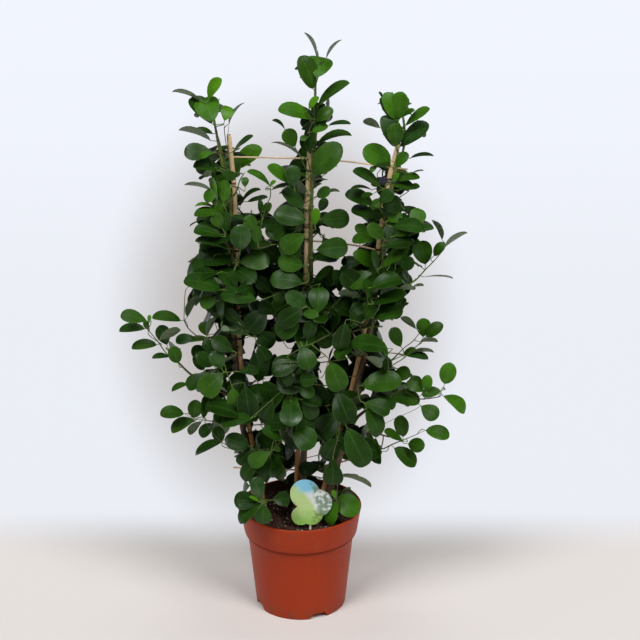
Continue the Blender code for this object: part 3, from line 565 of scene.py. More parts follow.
class Value:
    """A number that changes over a surface; arithmetic on it adds Math nodes to its finish."""

    def __init__(self, finish, socket):
        self.finish = finish
        self.socket = socket

    def math(self, operation, *others):
        inputs = dict(enumerate(others))
        return self.finish.node("ShaderNodeMath", {"operation": operation}, inputs)

    def __add__(self, other):
        return self.math("ADD", self, other)

    def __radd__(self, other):
        return self.math("ADD", other, self)

    def __sub__(self, other):
        return self.math("SUBTRACT", self, other)

    def __rsub__(self, other):
        return self.math("SUBTRACT", other, self)

    def __mul__(self, other):
        return self.math("MULTIPLY", self, other)

    def __rmul__(self, other):
        return self.math("MULTIPLY", other, self)

    def __truediv__(self, other):
        return self.math("DIVIDE", self, other)

    def __abs__(self):
        return self.math("ABSOLUTE", self)

    def between(self, low, high):
        """0 below low, 1 above high, and a smooth step between them."""
        settings = {"interpolation_type": "SMOOTHSTEP"}
        return self.finish.node("ShaderNodeMapRange", settings, {0: self, 1: low, 2: high})

    def sine(self):
        return self.math("SINE", self)

    def root(self):
        return self.math("SQRT", self)


SOCKETS = {
    "roughness": "Roughness",
    "specular_ior_level": "Specular IOR Level",
    "coat_roughness": "Coat Roughness",
}


class Finish:
    """One material: a Principled shader and the nodes that feed it."""

    def __init__(self, name, colour=(0.5, 0.5, 0.5), **sockets):
        self.material = bpy.data.materials.new(name)
        self.material.use_nodes = True
        self.tree = self.material.node_tree
        self.shader = self.tree.nodes["Principled BSDF"]
        self.shader.inputs["Base Color"].default_value = (*colour, 1.0)
        for socket, value in sockets.items():
            self.shader.inputs[SOCKETS[socket]].default_value = value

    def put(self, socket, value):
        if isinstance(value, Value):
            self.tree.links.new(value.socket, socket)
        elif isinstance(value, (tuple, list)) and socket.type == "RGBA":
            socket.default_value = (*value, 1.0)
        else:
            socket.default_value = value

    def node(self, kind, settings, inputs, output=0):
        node = self.tree.nodes.new(kind)
        for name, value in settings.items():
            setattr(node, name, value)
        for name, value in inputs.items():
            self.put(node.inputs[name], value)
        return Value(self, node.outputs[output])

    def place(self):
        return self.node("ShaderNodeTexCoord", {}, {}, "Object")

    def stretched(self, scale):
        return self.node("ShaderNodeMapping", {}, {"Vector": self.place(), "Scale": scale})

    def axis(self, name, vector=None):
        return self.node("ShaderNodeSeparateXYZ", {}, {0: vector or self.place()}, name)

    def noise(self, scale, detail=3.0, roughness=0.5, vector=None):
        inputs = {"Vector": vector or self.place(), "Scale": scale, "Detail": detail, "Roughness": roughness}
        return self.node("ShaderNodeTexNoise", {}, inputs, "Fac")

    def mix(self, share, first, second):
        inputs = {0: share, 6: first, 7: second}
        return self.node("ShaderNodeMix", {"data_type": "RGBA"}, inputs, 2)

    def colour(self, value):
        self.put(self.shader.inputs["Base Color"], value)

    def roughness(self, value):
        self.put(self.shader.inputs["Roughness"], value)

    def gloss(self, value):
        self.put(self.shader.inputs["Coat Weight"], value)

    def glow(self, value):
        self.put(self.shader.inputs["Emission Color"], value)
        self.shader.inputs["Emission Strength"].default_value = 1.0

    def relief(self, height, depth, strength=1.0):
        inputs = {"Height": height, "Distance": depth, "Strength": strength}
        bump = self.node("ShaderNodeBump", {}, inputs, "Normal")
        self.put(self.shader.inputs["Normal"], bump)


def pot_finish():
    """Moulded plastic the colour of terracotta, dusty with soil towards rim and foot, with painted shade in
    the step under the collar and, partly with soil dust, inside the collar.
    """
    finish = Finish("terracotta_plastic", specular_ior_level=0.16)
    cloud = finish.noise(9.0, 4.0)
    speck = finish.noise(420.0, 2.0)
    height = finish.axis("Z")
    streaks = finish.noise(60.0, 3.0, vector=finish.stretched((1.0, 1.0, 0.12)))
    body = finish.mix(cloud, (0.280, 0.027, 0.0045), (0.345, 0.037, 0.0075))
    body = finish.mix(streaks.between(0.55, 0.75) * 0.20, body, (0.370, 0.064, 0.022))
    dust_low = (1 - height.between(0.002, 0.030)) * finish.noise(70.0, 5.0, 0.7).between(0.42, 0.62)
    dust_high = height.between(0.150, 0.184) * finish.noise(55.0, 5.0, 0.7).between(0.56, 0.72)
    dirt = finish.mix(speck, (0.075, 0.030, 0.018), (0.150, 0.075, 0.045))
    body = finish.mix(dust_low * 0.55 + dust_high * 0.45, body, dirt)
    # Partly painted shade, partly soil dust: the inside of the collar above the soil is darkened to a soil
    # brown.
    body = finish.mix(inner_wall(finish) * 0.95, body, (0.110, 0.064, 0.036))
    # Painted shade: the step under the collar is darkened towards a deep red.
    step = height.between(COLLAR_BOTTOM - STEP_LENGTH, COLLAR_BOTTOM - STEP_LENGTH * 0.5)
    step = step * (1 - height.between(COLLAR_BOTTOM - 0.0005, COLLAR_BOTTOM + 0.0010))
    finish.colour(finish.mix(step * 0.55, body, (0.110, 0.014, 0.005)))
    finish.roughness(0.36 + cloud * 0.10 + dust_low * 0.20 + dust_high * 0.20 + step * 0.50)
    finish.relief(speck * 0.4 + streaks * 0.6, 0.00025, 0.35)
    return finish.material


def inner_wall(finish):
    """1 on the inside of the collar, above the soil and below the lip, and 0 elsewhere."""
    x, y, height = finish.axis("X"), finish.axis("Y"), finish.axis("Z")
    radius = (x * x + y * y).root()
    flare = (POT_RIM_RADIUS - COLLAR_BOTTOM_RADIUS) / (POT_HEIGHT - COLLAR_BOTTOM)
    inwards = (height - COLLAR_BOTTOM) * flare + COLLAR_BOTTOM_RADIUS - radius
    below_lip = 1 - height.between(POT_HEIGHT - 0.0016, POT_HEIGHT - 0.0006)
    return inwards.between(0.0012, 0.0018) * height.between(COLLAR_BOTTOM, COLLAR_BOTTOM + 0.01) * below_lip


def soil_finish():
    finish = Finish("potting_soil", specular_ior_level=0.2)
    coarse = finish.noise(95.0, 6.0, 0.65)
    fine = finish.noise(520.0, 4.0, 0.6)
    earth = finish.mix(coarse.between(0.35, 0.65), (0.016, 0.0085, 0.0060), (0.082, 0.038, 0.024))
    finish.colour(finish.mix(fine.between(0.66, 0.74), earth, (0.20, 0.105, 0.075)))
    finish.roughness(0.90 + fine * 0.08)
    finish.relief(coarse + fine * 0.6, 0.0015, 0.9)
    return finish.material


def cane_finish():
    """Dry bamboo: pale straw at the top, orange brown towards the soil, with fine lengthwise fibres."""
    finish = Finish("bamboo", specular_ior_level=0.25)
    fibres = finish.noise(900.0, 3.0, 0.6, finish.stretched((1.0, 1.0, 0.035)))
    patches = finish.noise(28.0, 3.0, 0.5, finish.stretched((1.0, 1.0, 0.45)))
    height = finish.axis("Z")
    pale = finish.mix(fibres, (0.900, 0.590, 0.290), (0.980, 0.780, 0.480))
    ruddy = finish.mix(fibres, (0.420, 0.180, 0.055), (0.760, 0.400, 0.150))
    body = finish.mix(height.between(0.28, 0.66), ruddy, pale)
    stain = patches.between(0.58, 0.76) * 0.28
    finish.colour(finish.mix(stain, body, (0.300, 0.140, 0.050)))
    finish.roughness(0.42 + fibres * 0.22)
    finish.relief(fibres, 0.0004, 0.6)
    return finish.material


def split_bamboo_finish():
    finish = Finish("split_bamboo", specular_ior_level=0.25)
    fibres = finish.noise(700.0, 3.0, 0.6, finish.stretched((0.03, 1.0, 1.0)))
    patches = finish.noise(22.0, 2.0)
    body = finish.mix(fibres, (0.880, 0.590, 0.340), (0.980, 0.780, 0.540))
    finish.colour(finish.mix(patches.between(0.55, 0.8) * 0.4, body, (0.46, 0.24, 0.10)))
    finish.roughness(0.55 + fibres * 0.2)
    finish.relief(fibres, 0.0004, 0.7)
    return finish.material


def bark_finish(name, age_low, age_high):
    """Grey brown bark with pale specks below, passing into young green wood between two heights."""
    finish = Finish(name, specular_ior_level=0.3)
    height = finish.axis("Z")
    rough = finish.noise(160.0, 5.0, 0.65, finish.stretched((1.0, 1.0, 0.4)))
    specks = finish.noise(620.0, 2.0)
    old = finish.mix(rough, (0.075, 0.042, 0.024), (0.235, 0.150, 0.092))
    old = finish.mix(specks.between(0.64, 0.70) * 0.7, old, (0.36, 0.27, 0.19))
    young = finish.mix(rough, (0.105, 0.140, 0.026), (0.235, 0.265, 0.070))
    age = (height + (rough - 0.5) * 0.08).between(age_low, age_high)
    finish.colour(finish.mix(age, old, young))
    finish.roughness(0.70 - age * 0.2)
    finish.relief(rough + specks * 0.3, 0.0010, 0.8)
    return finish.material


def twig_finish():
    finish = Finish("twig_bark", specular_ior_level=0.3)
    rough = finish.noise(260.0, 4.0, 0.6)
    patches = finish.noise(14.0, 2.0)
    green = finish.mix(rough, (0.045, 0.085, 0.012), (0.110, 0.160, 0.032))
    brown = finish.mix(rough, (0.045, 0.034, 0.018), (0.130, 0.100, 0.056))
    finish.colour(finish.mix(patches.between(0.50, 0.66), green, brown))
    finish.roughness(0.60 + rough * 0.15)
    finish.relief(rough, 0.0005, 0.6)
    return finish.material


def stalk_finish():
    finish = Finish("leaf_stalk", specular_ior_level=0.4)
    patches = finish.noise(30.0, 2.0)
    finish.colour(finish.mix(patches, (0.060, 0.135, 0.014), (0.150, 0.250, 0.040)))
    finish.roughness(0.45 + patches * 0.1)
    finish.relief(finish.noise(500.0), 0.0003, 0.4)
    return finish.material


LEAF_TINTS = {
    DEEP: ((0.0060, 0.0230, 0.0014), (0.0100, 0.0370, 0.0022)),
    DARK: ((0.0100, 0.0370, 0.0020), (0.0160, 0.0560, 0.0030)),
    MID: ((0.0180, 0.0600, 0.0028), (0.0280, 0.0860, 0.0042)),
    FRESH: ((0.0290, 0.1020, 0.0030), (0.0450, 0.1480, 0.0050)),
    LIME: ((0.0550, 0.1700, 0.0040), (0.0800, 0.2300, 0.0070)),
    # Painted reflection: the sheen tint's base colour is bluer and lighter than the dark tint's, standing
    # for the bluish reflection on glossy leaves; its strong coat is real gloss.
    SHEEN: ((0.0110, 0.0420, 0.0040), (0.0200, 0.0640, 0.0080)),
}


def blade_place(finish):
    """A leaf's own map: how far a point is from the midrib, from 0 to 1, and how far along the blade."""
    blade = finish.node("ShaderNodeUVMap", {"uv_map": "blade"}, {}, "UV")
    return abs(finish.axis("X", blade) - 0.5) * 2, finish.axis("Y", blade)


def leaf_finish(tint):
    """The glossy upper face of a leaf: thick and smooth, with a pale midrib and margin."""
    deep, light = LEAF_TINTS[tint]
    finish = Finish(f"leaf_{tint}", specular_ior_level=0.13, coat_roughness=0.32)
    from_midrib, along = blade_place(finish)
    cloud = finish.noise(34.0, 3.0)
    veins = ((along * 60 - from_midrib * 14).sine() * 0.5 + 0.5) * (1 - from_midrib)
    body = finish.mix(cloud.between(0.32, 0.68), deep, light)
    rib = (1 - from_midrib.between(0.01, 0.08)) * (1 - along * 0.7)
    body = finish.mix(rib * 0.25, body, (0.120, 0.260, 0.040))
    margin = from_midrib.between(0.92, 1.0)
    finish.colour(finish.mix(margin * 0.22, body, (0.170, 0.260, 0.070)))
    finish.roughness(0.33 + cloud * 0.12)
    finish.gloss(cloud.between(0.38, 0.64) * (0.85 if tint == SHEEN else 0.16))
    finish.relief(veins * 0.25 + finish.noise(150.0, 2.0) * 0.6, 0.0006, 0.35)
    return finish.material


def underside_finish():
    finish = Finish("leaf_underside", specular_ior_level=0.35)
    cloud = finish.noise(40.0, 3.0)
    from_midrib, _ = blade_place(finish)
    body = finish.mix(cloud, (0.088, 0.138, 0.066), (0.152, 0.205, 0.118))
    rib = 1 - from_midrib.between(0.02, 0.09)
    finish.colour(finish.mix(rib * 0.5, body, (0.240, 0.300, 0.150)))
    finish.roughness(0.50 + cloud * 0.12)
    finish.relief(rib + cloud * 0.4, 0.0006, 0.4)
    return finish.material


def card_finish():
    """Generic print on the card: sky and cloud over a meadow, with a row of rounded bushes at its right."""
    finish = Finish("label_card_print", specular_ior_level=0.5)
    x = finish.axis("X") - CARD_MIDDLE.x
    z = finish.axis("Z") - CARD_MIDDLE.z
    paper = finish.noise(900.0, 2.0)
    wash = finish.noise(70.0, 3.0)
    drift = (wash - 0.5) * 0.03
    blue = (z - x * 0.7 + drift).between(0.012, 0.030)
    sky = finish.mix(blue, (0.80, 0.86, 0.84), (0.22, 0.60, 0.80))
    field = finish.mix((z + drift).between(-0.034, -0.008), (0.30, 0.55, 0.10), (0.50, 0.68, 0.25))
    picture = finish.mix((z + x * 1.1 + drift).between(-0.006, 0.010), field, sky)
    grove = finish.noise(150.0, 1.0).between(0.38, 0.58) * (x + z * 0.25).between(0.005, 0.014)
    picture = finish.mix(grove * 0.80, picture, (0.080, 0.190, 0.080))
    low = 1 - z.between(-0.016, -0.008)
    hedge = finish.noise(210.0, 1.0).between(0.40, 0.58) * low * x.between(0.0, 0.010)
    picture = finish.mix(hedge * 0.8, picture, (0.130, 0.210, 0.045))
    finish.colour(finish.mix(paper * 0.08, picture, (0.5, 0.5, 0.5)))
    finish.roughness(0.32 + paper * 0.08)
    finish.relief(paper, 0.0001, 0.3)
    return finish.material


def grained_finish(name, low, high, roughness, scale, depth, strength=0.5, uneven=0.12, specular=0.45):
    """A surface of one grain that sets its colour between two, its roughness and its relief."""
    finish = Finish(name, specular_ior_level=specular)
    grain = finish.noise(scale, 3.0)
    finish.colour(finish.mix(grain, low, high))
    finish.roughness(roughness + (grain - 0.5) * uneven)
    finish.relief(grain, depth, strength)
    return finish.material


def blend(a, b, share):
    return a + (b - a) * share


def level_way(angle):
    return Vector((math.cos(angle), math.sin(angle), 0.0))


def eased(start, slope_in, end, slope_out, t):
    """A point of the smooth curve that leaves one place and reaches another with given slopes."""
    return (
        start * (2 * t**3 - 3 * t**2 + 1)
        + slope_in * (t**3 - 2 * t**2 + t)
        + end * (3 * t**2 - 2 * t**3)
        + slope_out * (t**3 - t**2)
    )


def stretch(knots, i):
    """The two knots that a stretch of a route runs between, and the ones before and after them."""
    return knots[max(i - 1, 0)], knots[i], knots[i + 1], knots[min(i + 2, len(knots) - 1)]


def route_point(points, height):
    """The point of a route that climbs in Z, at the given height, on a smooth curve through it."""
    knots = [Vector(p) for p in points]
    for i in range(len(knots) - 1):
        if height <= knots[i + 1].z or i == len(knots) - 2:
            break
    before, start, end, after = stretch(knots, i)
    rise = end.z - start.z
    t = min(max((height - start.z) / rise, 0.0), 1.0)
    slope_in = (end - before) / (end.z - before.z) * rise
    slope_out = (after - start) / (after.z - start.z) * rise
    place = eased(start, slope_in, end, slope_out, t)
    place.z = height
    return place


def smooth_path(points, steps):
    """A curve through any few points, with the given number of steps between two of them."""
    knots = [Vector(p) for p in points]
    path = []
    for i in range(len(knots) - 1):
        before, start, end, after = stretch(knots, i)
        for step in range(steps):
            t = step / steps
            path.append(
                0.5
                * (
                    2 * start
                    + (end - before) * t
                    + (2 * before - 5 * start + 4 * end - after) * t**2
                    + (3 * start - before - 3 * end + after) * t**3
                )
            )
    path.append(knots[-1])
    return path


def cane_radius(side, height):
    foot = CANE_ROUTES[side][0][2]
    tip = CANE_ROUTES[side][-1][2]
    return blend(CANE_FOOT_RADIUS, CANE_TIP_RADIUS, min((height - foot) / (tip - foot), 1.0))


def stem_radius(side, height):
    foot = SOIL_TOP + GAP
    tip = STEM_TIPS[side][-1][2]
    share = (height - foot) / (tip - foot)
    flare = STEM_FLARE * math.exp(-(height - foot) / STEM_FLARE_HEIGHT)
    return blend(STEM_FOOT_RADIUS, STEM_TIP_RADIUS, share) + flare


def stem_centre(side, height):
    """The stem lies against its cane up to where it leaves it, then follows its free top."""
    free_from = STEM_LEAVES_CANE[side]
    if height <= free_from:
        reach = cane_radius(side, height) + stem_radius(side, height) + STEM_TO_CANE
        return route_point(CANE_ROUTES[side], height) + level_way(STEM_SIDES[side]) * reach
    last_tied = stem_centre(side, free_from - 0.03)
    leaving = stem_centre(side, free_from)
    return route_point((last_tied, leaving, *STEM_TIPS[side]), height)


def bough_path(name, steps):
    side, height, route, _ = BOUGHS[name]
    start = stem_centre(side, height)
    outward = (Vector(route[0]) - start).normalized()
    along_stem = (stem_centre(side, height + 0.01) - start).normalized()
    tilt = abs(outward.dot(along_stem))
    clear_of_stem = stem_radius(side, height) * 0.7
    start = start + outward * (clear_of_stem / math.sqrt(1 - tilt**2))
    return smooth_path((start, *route), steps)


def mesh_of(work, name):
    """Turns a bmesh into a mesh and frees it."""
    mesh = bpy.data.meshes.new(name)
    work.to_mesh(mesh)
    work.free()
    return mesh


def place_in_scene(name, data):
    thing = bpy.data.objects.new(name, data)
    bpy.context.scene.collection.objects.link(thing)
    return thing


def add_piece(name, work, finishes, slot, *nodes, sharp_from=48):
    """Makes a piece from a bmesh, with its finishes, its body and the nodes it replaces; the slot is not
    used.
    """
    mesh = mesh_of(work, name)
    for finish in finishes:
        mesh.materials.append(finish)
    if sharp_from:
        mesh.shade_smooth()
        mesh.set_sharp_from_angle(angle=math.radians(sharp_from))
    piece = place_in_scene(name, mesh)
    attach(piece, BODY)
    if nodes:
        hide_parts(*nodes)
    return piece


def section_frames(path):
    """A frame at each point of a path, turned as little as possible from one to the next."""
    frames = []
    side = None
    for i, point in enumerate(path):
        ahead = path[min(i + 1, len(path) - 1)] - path[max(i - 1, 0)]
        ahead.normalize()
        if side is None:
            side = ahead.orthogonal().normalized()
        side = (side - ahead * side.dot(ahead)).normalized()
        frames.append((point, side, ahead.cross(side), ahead))
    return frames


def placing(place, x_axis, y_axis, z_axis):
    """The matrix that sets a shape's own axes along three ways at a place."""
    return Matrix.Translation(place) @ Matrix((x_axis, y_axis, z_axis)).transposed().to_4x4()


def ring_matrix(frame_here, radius):
    point, side, other, ahead = frame_here
    return placing(point, side * radius, other * radius, ahead)


def limb(path, radii, sides):
    """A tapering limb: a round section that is extruded from point to point, closed at both ends."""
    work = bmesh.new()
    frames = section_frames(path)
    bmesh.ops.create_circle(work, cap_ends=True, segments=sides, radius=1.0)
    here = ring_matrix(frames[0], radii[0])
    bmesh.ops.transform(work, matrix=here, verts=work.verts)
    front = work.faces[:]
    for frame_next, radius in zip(frames[1:], radii[1:]):
        there = ring_matrix(frame_next, radius)
        grown = bmesh.ops.extrude_face_region(work, geom=front)["geom"]
        verts = [part for part in grown if isinstance(part, bmesh.types.BMVert)]
        front = [part for part in grown if isinstance(part, bmesh.types.BMFace)]
        bmesh.ops.transform(work, matrix=there @ here.inverted(), verts=verts)
        here = there
    bmesh.ops.recalc_face_normals(work, faces=work.faces)
    return work


def join_into(work, other, matrix=None, material=None):
    """Adds one bmesh to another and frees it."""
    if matrix is not None:
        bmesh.ops.transform(other, matrix=matrix, verts=other.verts)
    if material is not None:
        for face in other.faces:
            face.material_index = material
    mesh = mesh_of(other, "joined")
    work.from_mesh(mesh)
    bpy.data.meshes.remove(mesh)


def bevel_edges(work, offset):
    bmesh.ops.bevel(
        work, geom=work.edges[:], offset=offset, segments=2, profile=0.5, affect="EDGES", material=-1
    )


def spun(profile, steps):
    """A turned solid from a closed profile of (radius, height) points."""
    work = bmesh.new()
    verts = [work.verts.new((radius, 0.0, height)) for radius, height in profile]
    edges = [work.edges.new(pair) for pair in zip(verts, verts[1:])]
    if profile[0][0] > 0.0:
        edges.append(work.edges.new((verts[-1], verts[0])))
    bmesh.ops.spin(
        work, geom=verts + edges, cent=(0, 0, 0), axis=(0, 0, 1), angle=math.tau, steps=steps, use_merge=True
    )
    bmesh.ops.remove_doubles(work, verts=work.verts, dist=0.00001)
    bmesh.ops.recalc_face_normals(work, faces=work.faces)
    return work


def pot_outer_radius(height):
    if height >= COLLAR_BOTTOM:
        share = (height - COLLAR_BOTTOM) / (POT_HEIGHT - COLLAR_BOTTOM)
        return blend(COLLAR_BOTTOM_RADIUS, POT_RIM_RADIUS, share)
    below_collar = COLLAR_BOTTOM_RADIUS - COLLAR_STEP
    return blend(POT_BASE_RADIUS, below_collar, height / (COLLAR_BOTTOM - COLLAR_CURVE))


def arc(middle, radius, start, end, count):
    """Points of a round corner in a turned profile, between two angles in degrees."""
    angles = [math.radians(blend(start, end, number / (count - 1))) for number in range(count)]
    return [(middle[0] + radius * math.cos(a), middle[1] + radius * math.sin(a)) for a in angles]


def soft_step(low_point, high_point, count):
    """Points of the S-curve under the collar, from its lower edge in to the body of the pot."""
    points = []
    for number in range(count):
        t = number / (count - 1)
        ease = t * t * (3 - 2 * t)
        points.append((blend(high_point[0], low_point[0], ease), blend(high_point[1], low_point[1], t)))
    return points


def make_pot():
    """The turned pot, with a rolled lip, a collar, a thin wall, a foot ring and its drain notches."""
    step_bottom = COLLAR_BOTTOM - STEP_LENGTH
    step_low = (pot_outer_radius(step_bottom), step_bottom)
    step_top = (COLLAR_BOTTOM_RADIUS - COLLAR_EDGE * 0.3, COLLAR_BOTTOM - COLLAR_EDGE * 0.3)
    collar_low = COLLAR_BOTTOM + COLLAR_EDGE_HEIGHT
    foot_inside = POT_BASE_RADIUS - FOOT_WIDTH
    profile = arc((POT_RIM_RADIUS - POT_LIP, POT_HEIGHT - POT_LIP), POT_LIP, 90, -4, 6)
    profile += [(pot_outer_radius(h), h) for h in (*COLLAR_HEIGHTS, collar_low)]
    profile += arc((COLLAR_BOTTOM_RADIUS - COLLAR_EDGE, COLLAR_BOTTOM + COLLAR_EDGE), COLLAR_EDGE, 0, -70, 4)
    profile += soft_step(step_low, step_top, 6)[1:]
    profile += [(pot_outer_radius(h), h) for h in BODY_HEIGHTS]
    profile += arc((POT_BASE_RADIUS - FOOT_EDGE, FOOT_EDGE), FOOT_EDGE, 0, -90, 4)
    profile += [(foot_inside, 0.0), (foot_inside - FLOOR_DRAFT, FLOOR_UNDERSIDE)]
    profile += [(CENTRE_PAD_RADIUS + FLOOR_DRAFT, FLOOR_UNDERSIDE), (CENTRE_PAD_RADIUS, 0.0), (0.0, 0.0)]
    profile += [(0.0, FLOOR_TOP)]
    inside_heights = (FLOOR_TOP, 0.06, step_bottom, collar_low, 0.155, 0.176)
    profile += [(pot_outer_radius(h) - POT_WALL, h) for h in inside_heights]
    profile += arc((POT_RIM_RADIUS - POT_LIP - POT_LIP_INSET, POT_HEIGHT - POT_LIP), POT_LIP, 176, 96, 4)
    pot = add_piece("flower_pot", spun(profile, POT_STEPS), [FINISHES["pot"]], "pot_plastic", "pot")
    cutters = [make_notch_cutter(number) for number in range(NOTCH_COUNT)]
    for cutter in cutters:
        cut = pot.modifiers.new(cutter.name, "BOOLEAN")
        cut.operation = "DIFFERENCE"
        cut.object = cutter
    depsgraph = bpy.context.evaluated_depsgraph_get()
    mesh = bpy.data.meshes.new_from_object(pot.evaluated_get(depsgraph))
    pot.modifiers.clear()
    pot.data = mesh
    mesh.shade_smooth()
    mesh.set_sharp_from_angle(angle=math.radians(40))
    for cutter in cutters:
        bpy.data.objects.remove(cutter, do_unlink=True)


def make_notch_cutter(number):
    """The room of one drain notch in the foot, wider at the floor than above."""
    angle = NOTCH_FIRST_ANGLE + number * math.tau / NOTCH_COUNT
    middle = POT_BASE_RADIUS - FOOT_WIDTH + NOTCH_DEPTH / 2 - NOTCH_CUT_IN
    work = bmesh.new()
    bmesh.ops.create_cube(work, size=1.0)
    bmesh.ops.scale(work, verts=work.verts, vec=(NOTCH_DEPTH, NOTCH_WIDTH, NOTCH_HEIGHT * 2))
    for vert in work.verts:
        if vert.co.z > 0.0:
            vert.co.y *= NOTCH_TOP_SHARE
        else:
            vert.co.y *= 2 - NOTCH_TOP_SHARE
    place = Matrix.Rotation(angle, 4, "Z") @ Matrix.Translation((middle, 0.0, 0.0))
    bmesh.ops.transform(work, matrix=place, verts=work.verts)
    return place_in_scene(f"notch_{number}", mesh_of(work, f"notch_{number}"))


def soil_level(x, y):
    """The height of the soil's loose surface, a little heaped at the stems."""
    place = Vector((x, y, 0.0))
    rough = sum(noise.noise(place * scale) * height for scale, height in SOIL_WAVES)
    from_middle = math.hypot(x, y) / SOIL_RADIUS
    return SOIL_TOP + rough + SOIL_HEAP * (1 - from_middle) - SOIL_EDGE_DROP * from_middle**4


def on_soil(rng, share):
    """A chance place on the soil, within a share of its radius."""
    reach = SOIL_RADIUS * share * math.sqrt(rng.random())
    angle = rng.uniform(0.0, math.tau)
    return reach * math.cos(angle), reach * math.sin(angle)


def make_soil():
    """The soil's surface down to a little under it, with crumbs, pale grains and chips on it."""
    underside = SOIL_TOP - SOIL_DEPTH
    profile = [(SOIL_RADIUS * number / SOIL_RINGS, SOIL_TOP) for number in range(SOIL_RINGS + 1)]
    profile += [(SOIL_RADIUS - SOIL_TAPER, underside), (0.0, underside)]
    work = spun(profile, SOIL_STEPS)
    for vert in work.verts:
        if vert.co.z > SOIL_TOP - 0.001:
            vert.co.z = soil_level(vert.co.x, vert.co.y)
    add_piece("soil_surface", work, [FINISHES["soil"]], "potting_soil", "soil")
    add_lumps("soil_crumbs", CRUMB_COUNT, CRUMB_SIZES, FINISHES["soil"], 11)
    add_lumps("perlite_grains", PERLITE_COUNT, PERLITE_SIZES, FINISHES["perlite"], 12)
    make_bark_chips()


def add_lumps(name, count, sizes, finish, seed):
    """Uneven crumbs on the soil, more small ones than large ones, sunk a little into it."""
    rng = random.Random(seed)
    work = bmesh.new()
    for _ in range(count):
        x, y = on_soil(rng, 0.97)
        size = blend(*sizes, rng.random() ** 2)
        lump = bmesh.new()
        bmesh.ops.create_icosphere(lump, subdivisions=1, radius=size)
        for vert in lump.verts:
            vert.co *= rng.uniform(0.65, 1.25)
        turn = Matrix.Rotation(rng.uniform(0.0, math.tau), 4, (rng.random(), rng.random(), 0.3))
        squash = Matrix.Diagonal((1.0, rng.uniform(0.6, 1.0), rng.uniform(0.5, 0.9), 1.0))
        place = Matrix.Translation((x, y, soil_level(x, y) + size * 0.25))
        join_into(work, lump, place @ turn @ squash)
    add_piece(name, work, [finish], "potting_soil", sharp_from=None)


def make_bark_chips():
    """Short dark fibres and chips that lie on the soil."""
    rng = random.Random(13)
    work = bmesh.new()
    for _ in range(CHIP_COUNT):
        x, y = on_soil(rng, 0.93)
        chip = bmesh.new()
        bmesh.ops.create_cube(chip, size=1.0)
        size = [rng.uniform(*limits) for limits in (CHIP_LENGTHS, CHIP_WIDTHS, CHIP_THICKNESSES)]
        for vert in chip.verts:
            vert.co *= rng.uniform(0.7, 1.1)
        turn = Matrix.Rotation(rng.uniform(0.0, math.tau), 4, "Z")
        turn @= Matrix.Rotation(rng.uniform(-0.5, 0.5), 4, "Y")
        place = Matrix.Translation((x, y, soil_level(x, y) + 0.0008))
        join_into(work, chip, place @ turn @ Matrix.Diagonal((*size, 1.0)))
    add_piece("bark_chips", work, [FINISHES["chip"]], "potting_soil", sharp_from=None)


def cane_joints(side):
    """Heights of the joints along a cane, closer together towards its foot."""
    rng = random.Random(SIDES.index(side) + 5)
    heights = []
    height = SOIL_TOP + rng.uniform(0.03, 0.05)
    while height < CANE_ROUTES[side][-1][2] - 0.012:
        heights.append(height)
        height += rng.uniform(*JOINT_GAPS)
    return heights


def bumps(height, places, length):
    """How much of a soft bump there is at a height, from the heights of all bumps and their length."""
    return sum(math.exp(-(((height - place) / length) ** 2)) for place in places)


def make_cane(side):
    """A bamboo cane whose joints swell and carry a dark ring."""
    rng = random.Random(SIDES.index(side) + 20)
    foot = SOIL_TOP - CANE_SUNK
    tip = CANE_ROUTES[side][-1][2]
    joints = cane_joints(side)
    path, radii = [], []
    for number in range(CANE_STEPS + 1):
        height = blend(foot, tip, number / CANE_STEPS)
        swell = bumps(height, joints, JOINT_LENGTH)
        groove = bumps(height - GROOVE_ABOVE, joints, GROOVE_LENGTH)
        wander = noise.noise(Vector((height * 9.0, 3.0 * SIDES.index(side), 0.0))) * CANE_WANDER
        path.append(route_point(CANE_ROUTES[side], max(height, SOIL_TOP + 0.0015)))
        path[-1].x += wander
        path[-1].z = height
        uneven = JOINT_SWELL * swell - GROOVE_DEPTH * groove + 0.02 * rng.uniform(-1, 1)
        radii.append(cane_radius(side, height) * (1 + uneven))
    radii[-1] *= 0.9
    work = limb(path, radii, CANE_SECTION)
    for face in work.faces:
        middle = face.calc_center_median()
        near = min(abs(middle.z - joint - RING_ABOVE) for joint in joints)
        is_cut_end = middle.z > tip - 0.0003
        if near < RING_HALF or is_cut_end:
            face.material_index = 1
    finishes = [FINISHES["cane"], FINISHES["cane_joint"]]
    add_piece(f"bamboo_cane_{side}", work, finishes, "bamboo", f"cane_{side}")


def with_bark(work, seed, depth):
    """Lifts and sinks the surface of a limb into the relief of its bark."""
    work.normal_update()
    moves = []
    for vert in work.verts:
        place = Vector((vert.co.x, vert.co.y, vert.co.z * BARK_STRETCH)) + Vector((seed * 3.7, 0.0, 0.0))
        rough = sum(share * noise.noise(place * scale) for scale, share in BARK_GRAINS)
        moves.append(vert.normal * (rough * depth))
    for vert, move in zip(work.verts, moves):
        vert.co += move
    return work


def leaf_scars(side):
    """Heights where old leaves left a swollen ring on the stem."""
    rng = random.Random(SIDES.index(side) + 60)
    heights = []
    height = SOIL_TOP + 0.03
    while height < STEM_TIPS[side][-1][2] - 0.01:
        heights.append(height)
        height += rng.uniform(*SCAR_GAPS)
    return heights


def make_stem(side):
    """A stem with the rings of its old leaves and the relief of its bark."""
    foot = SOIL_TOP - STEM_SUNK
    tip = STEM_TIPS[side][-1][2]
    scars = leaf_scars(side)
    path, radii = [], []
    for number in range(STEM_STEPS + 1):
        height = blend(foot, tip, number / STEM_STEPS)
        level = max(height, SOIL_TOP + 0.001)
        path.append(stem_centre(side, level))
        path[-1].z = height
        radii.append(stem_radius(side, level) * (1 + SCAR_SWELL * bumps(height, scars, SCAR_LENGTH)))
    work = with_bark(limb(path, radii, STEM_SECTION), SIDES.index(side), STEM_BARK)
    add_piece(f"ficus_stem_{side}", work, [FINISHES["stem"]], "bark", f"stem_{side}")


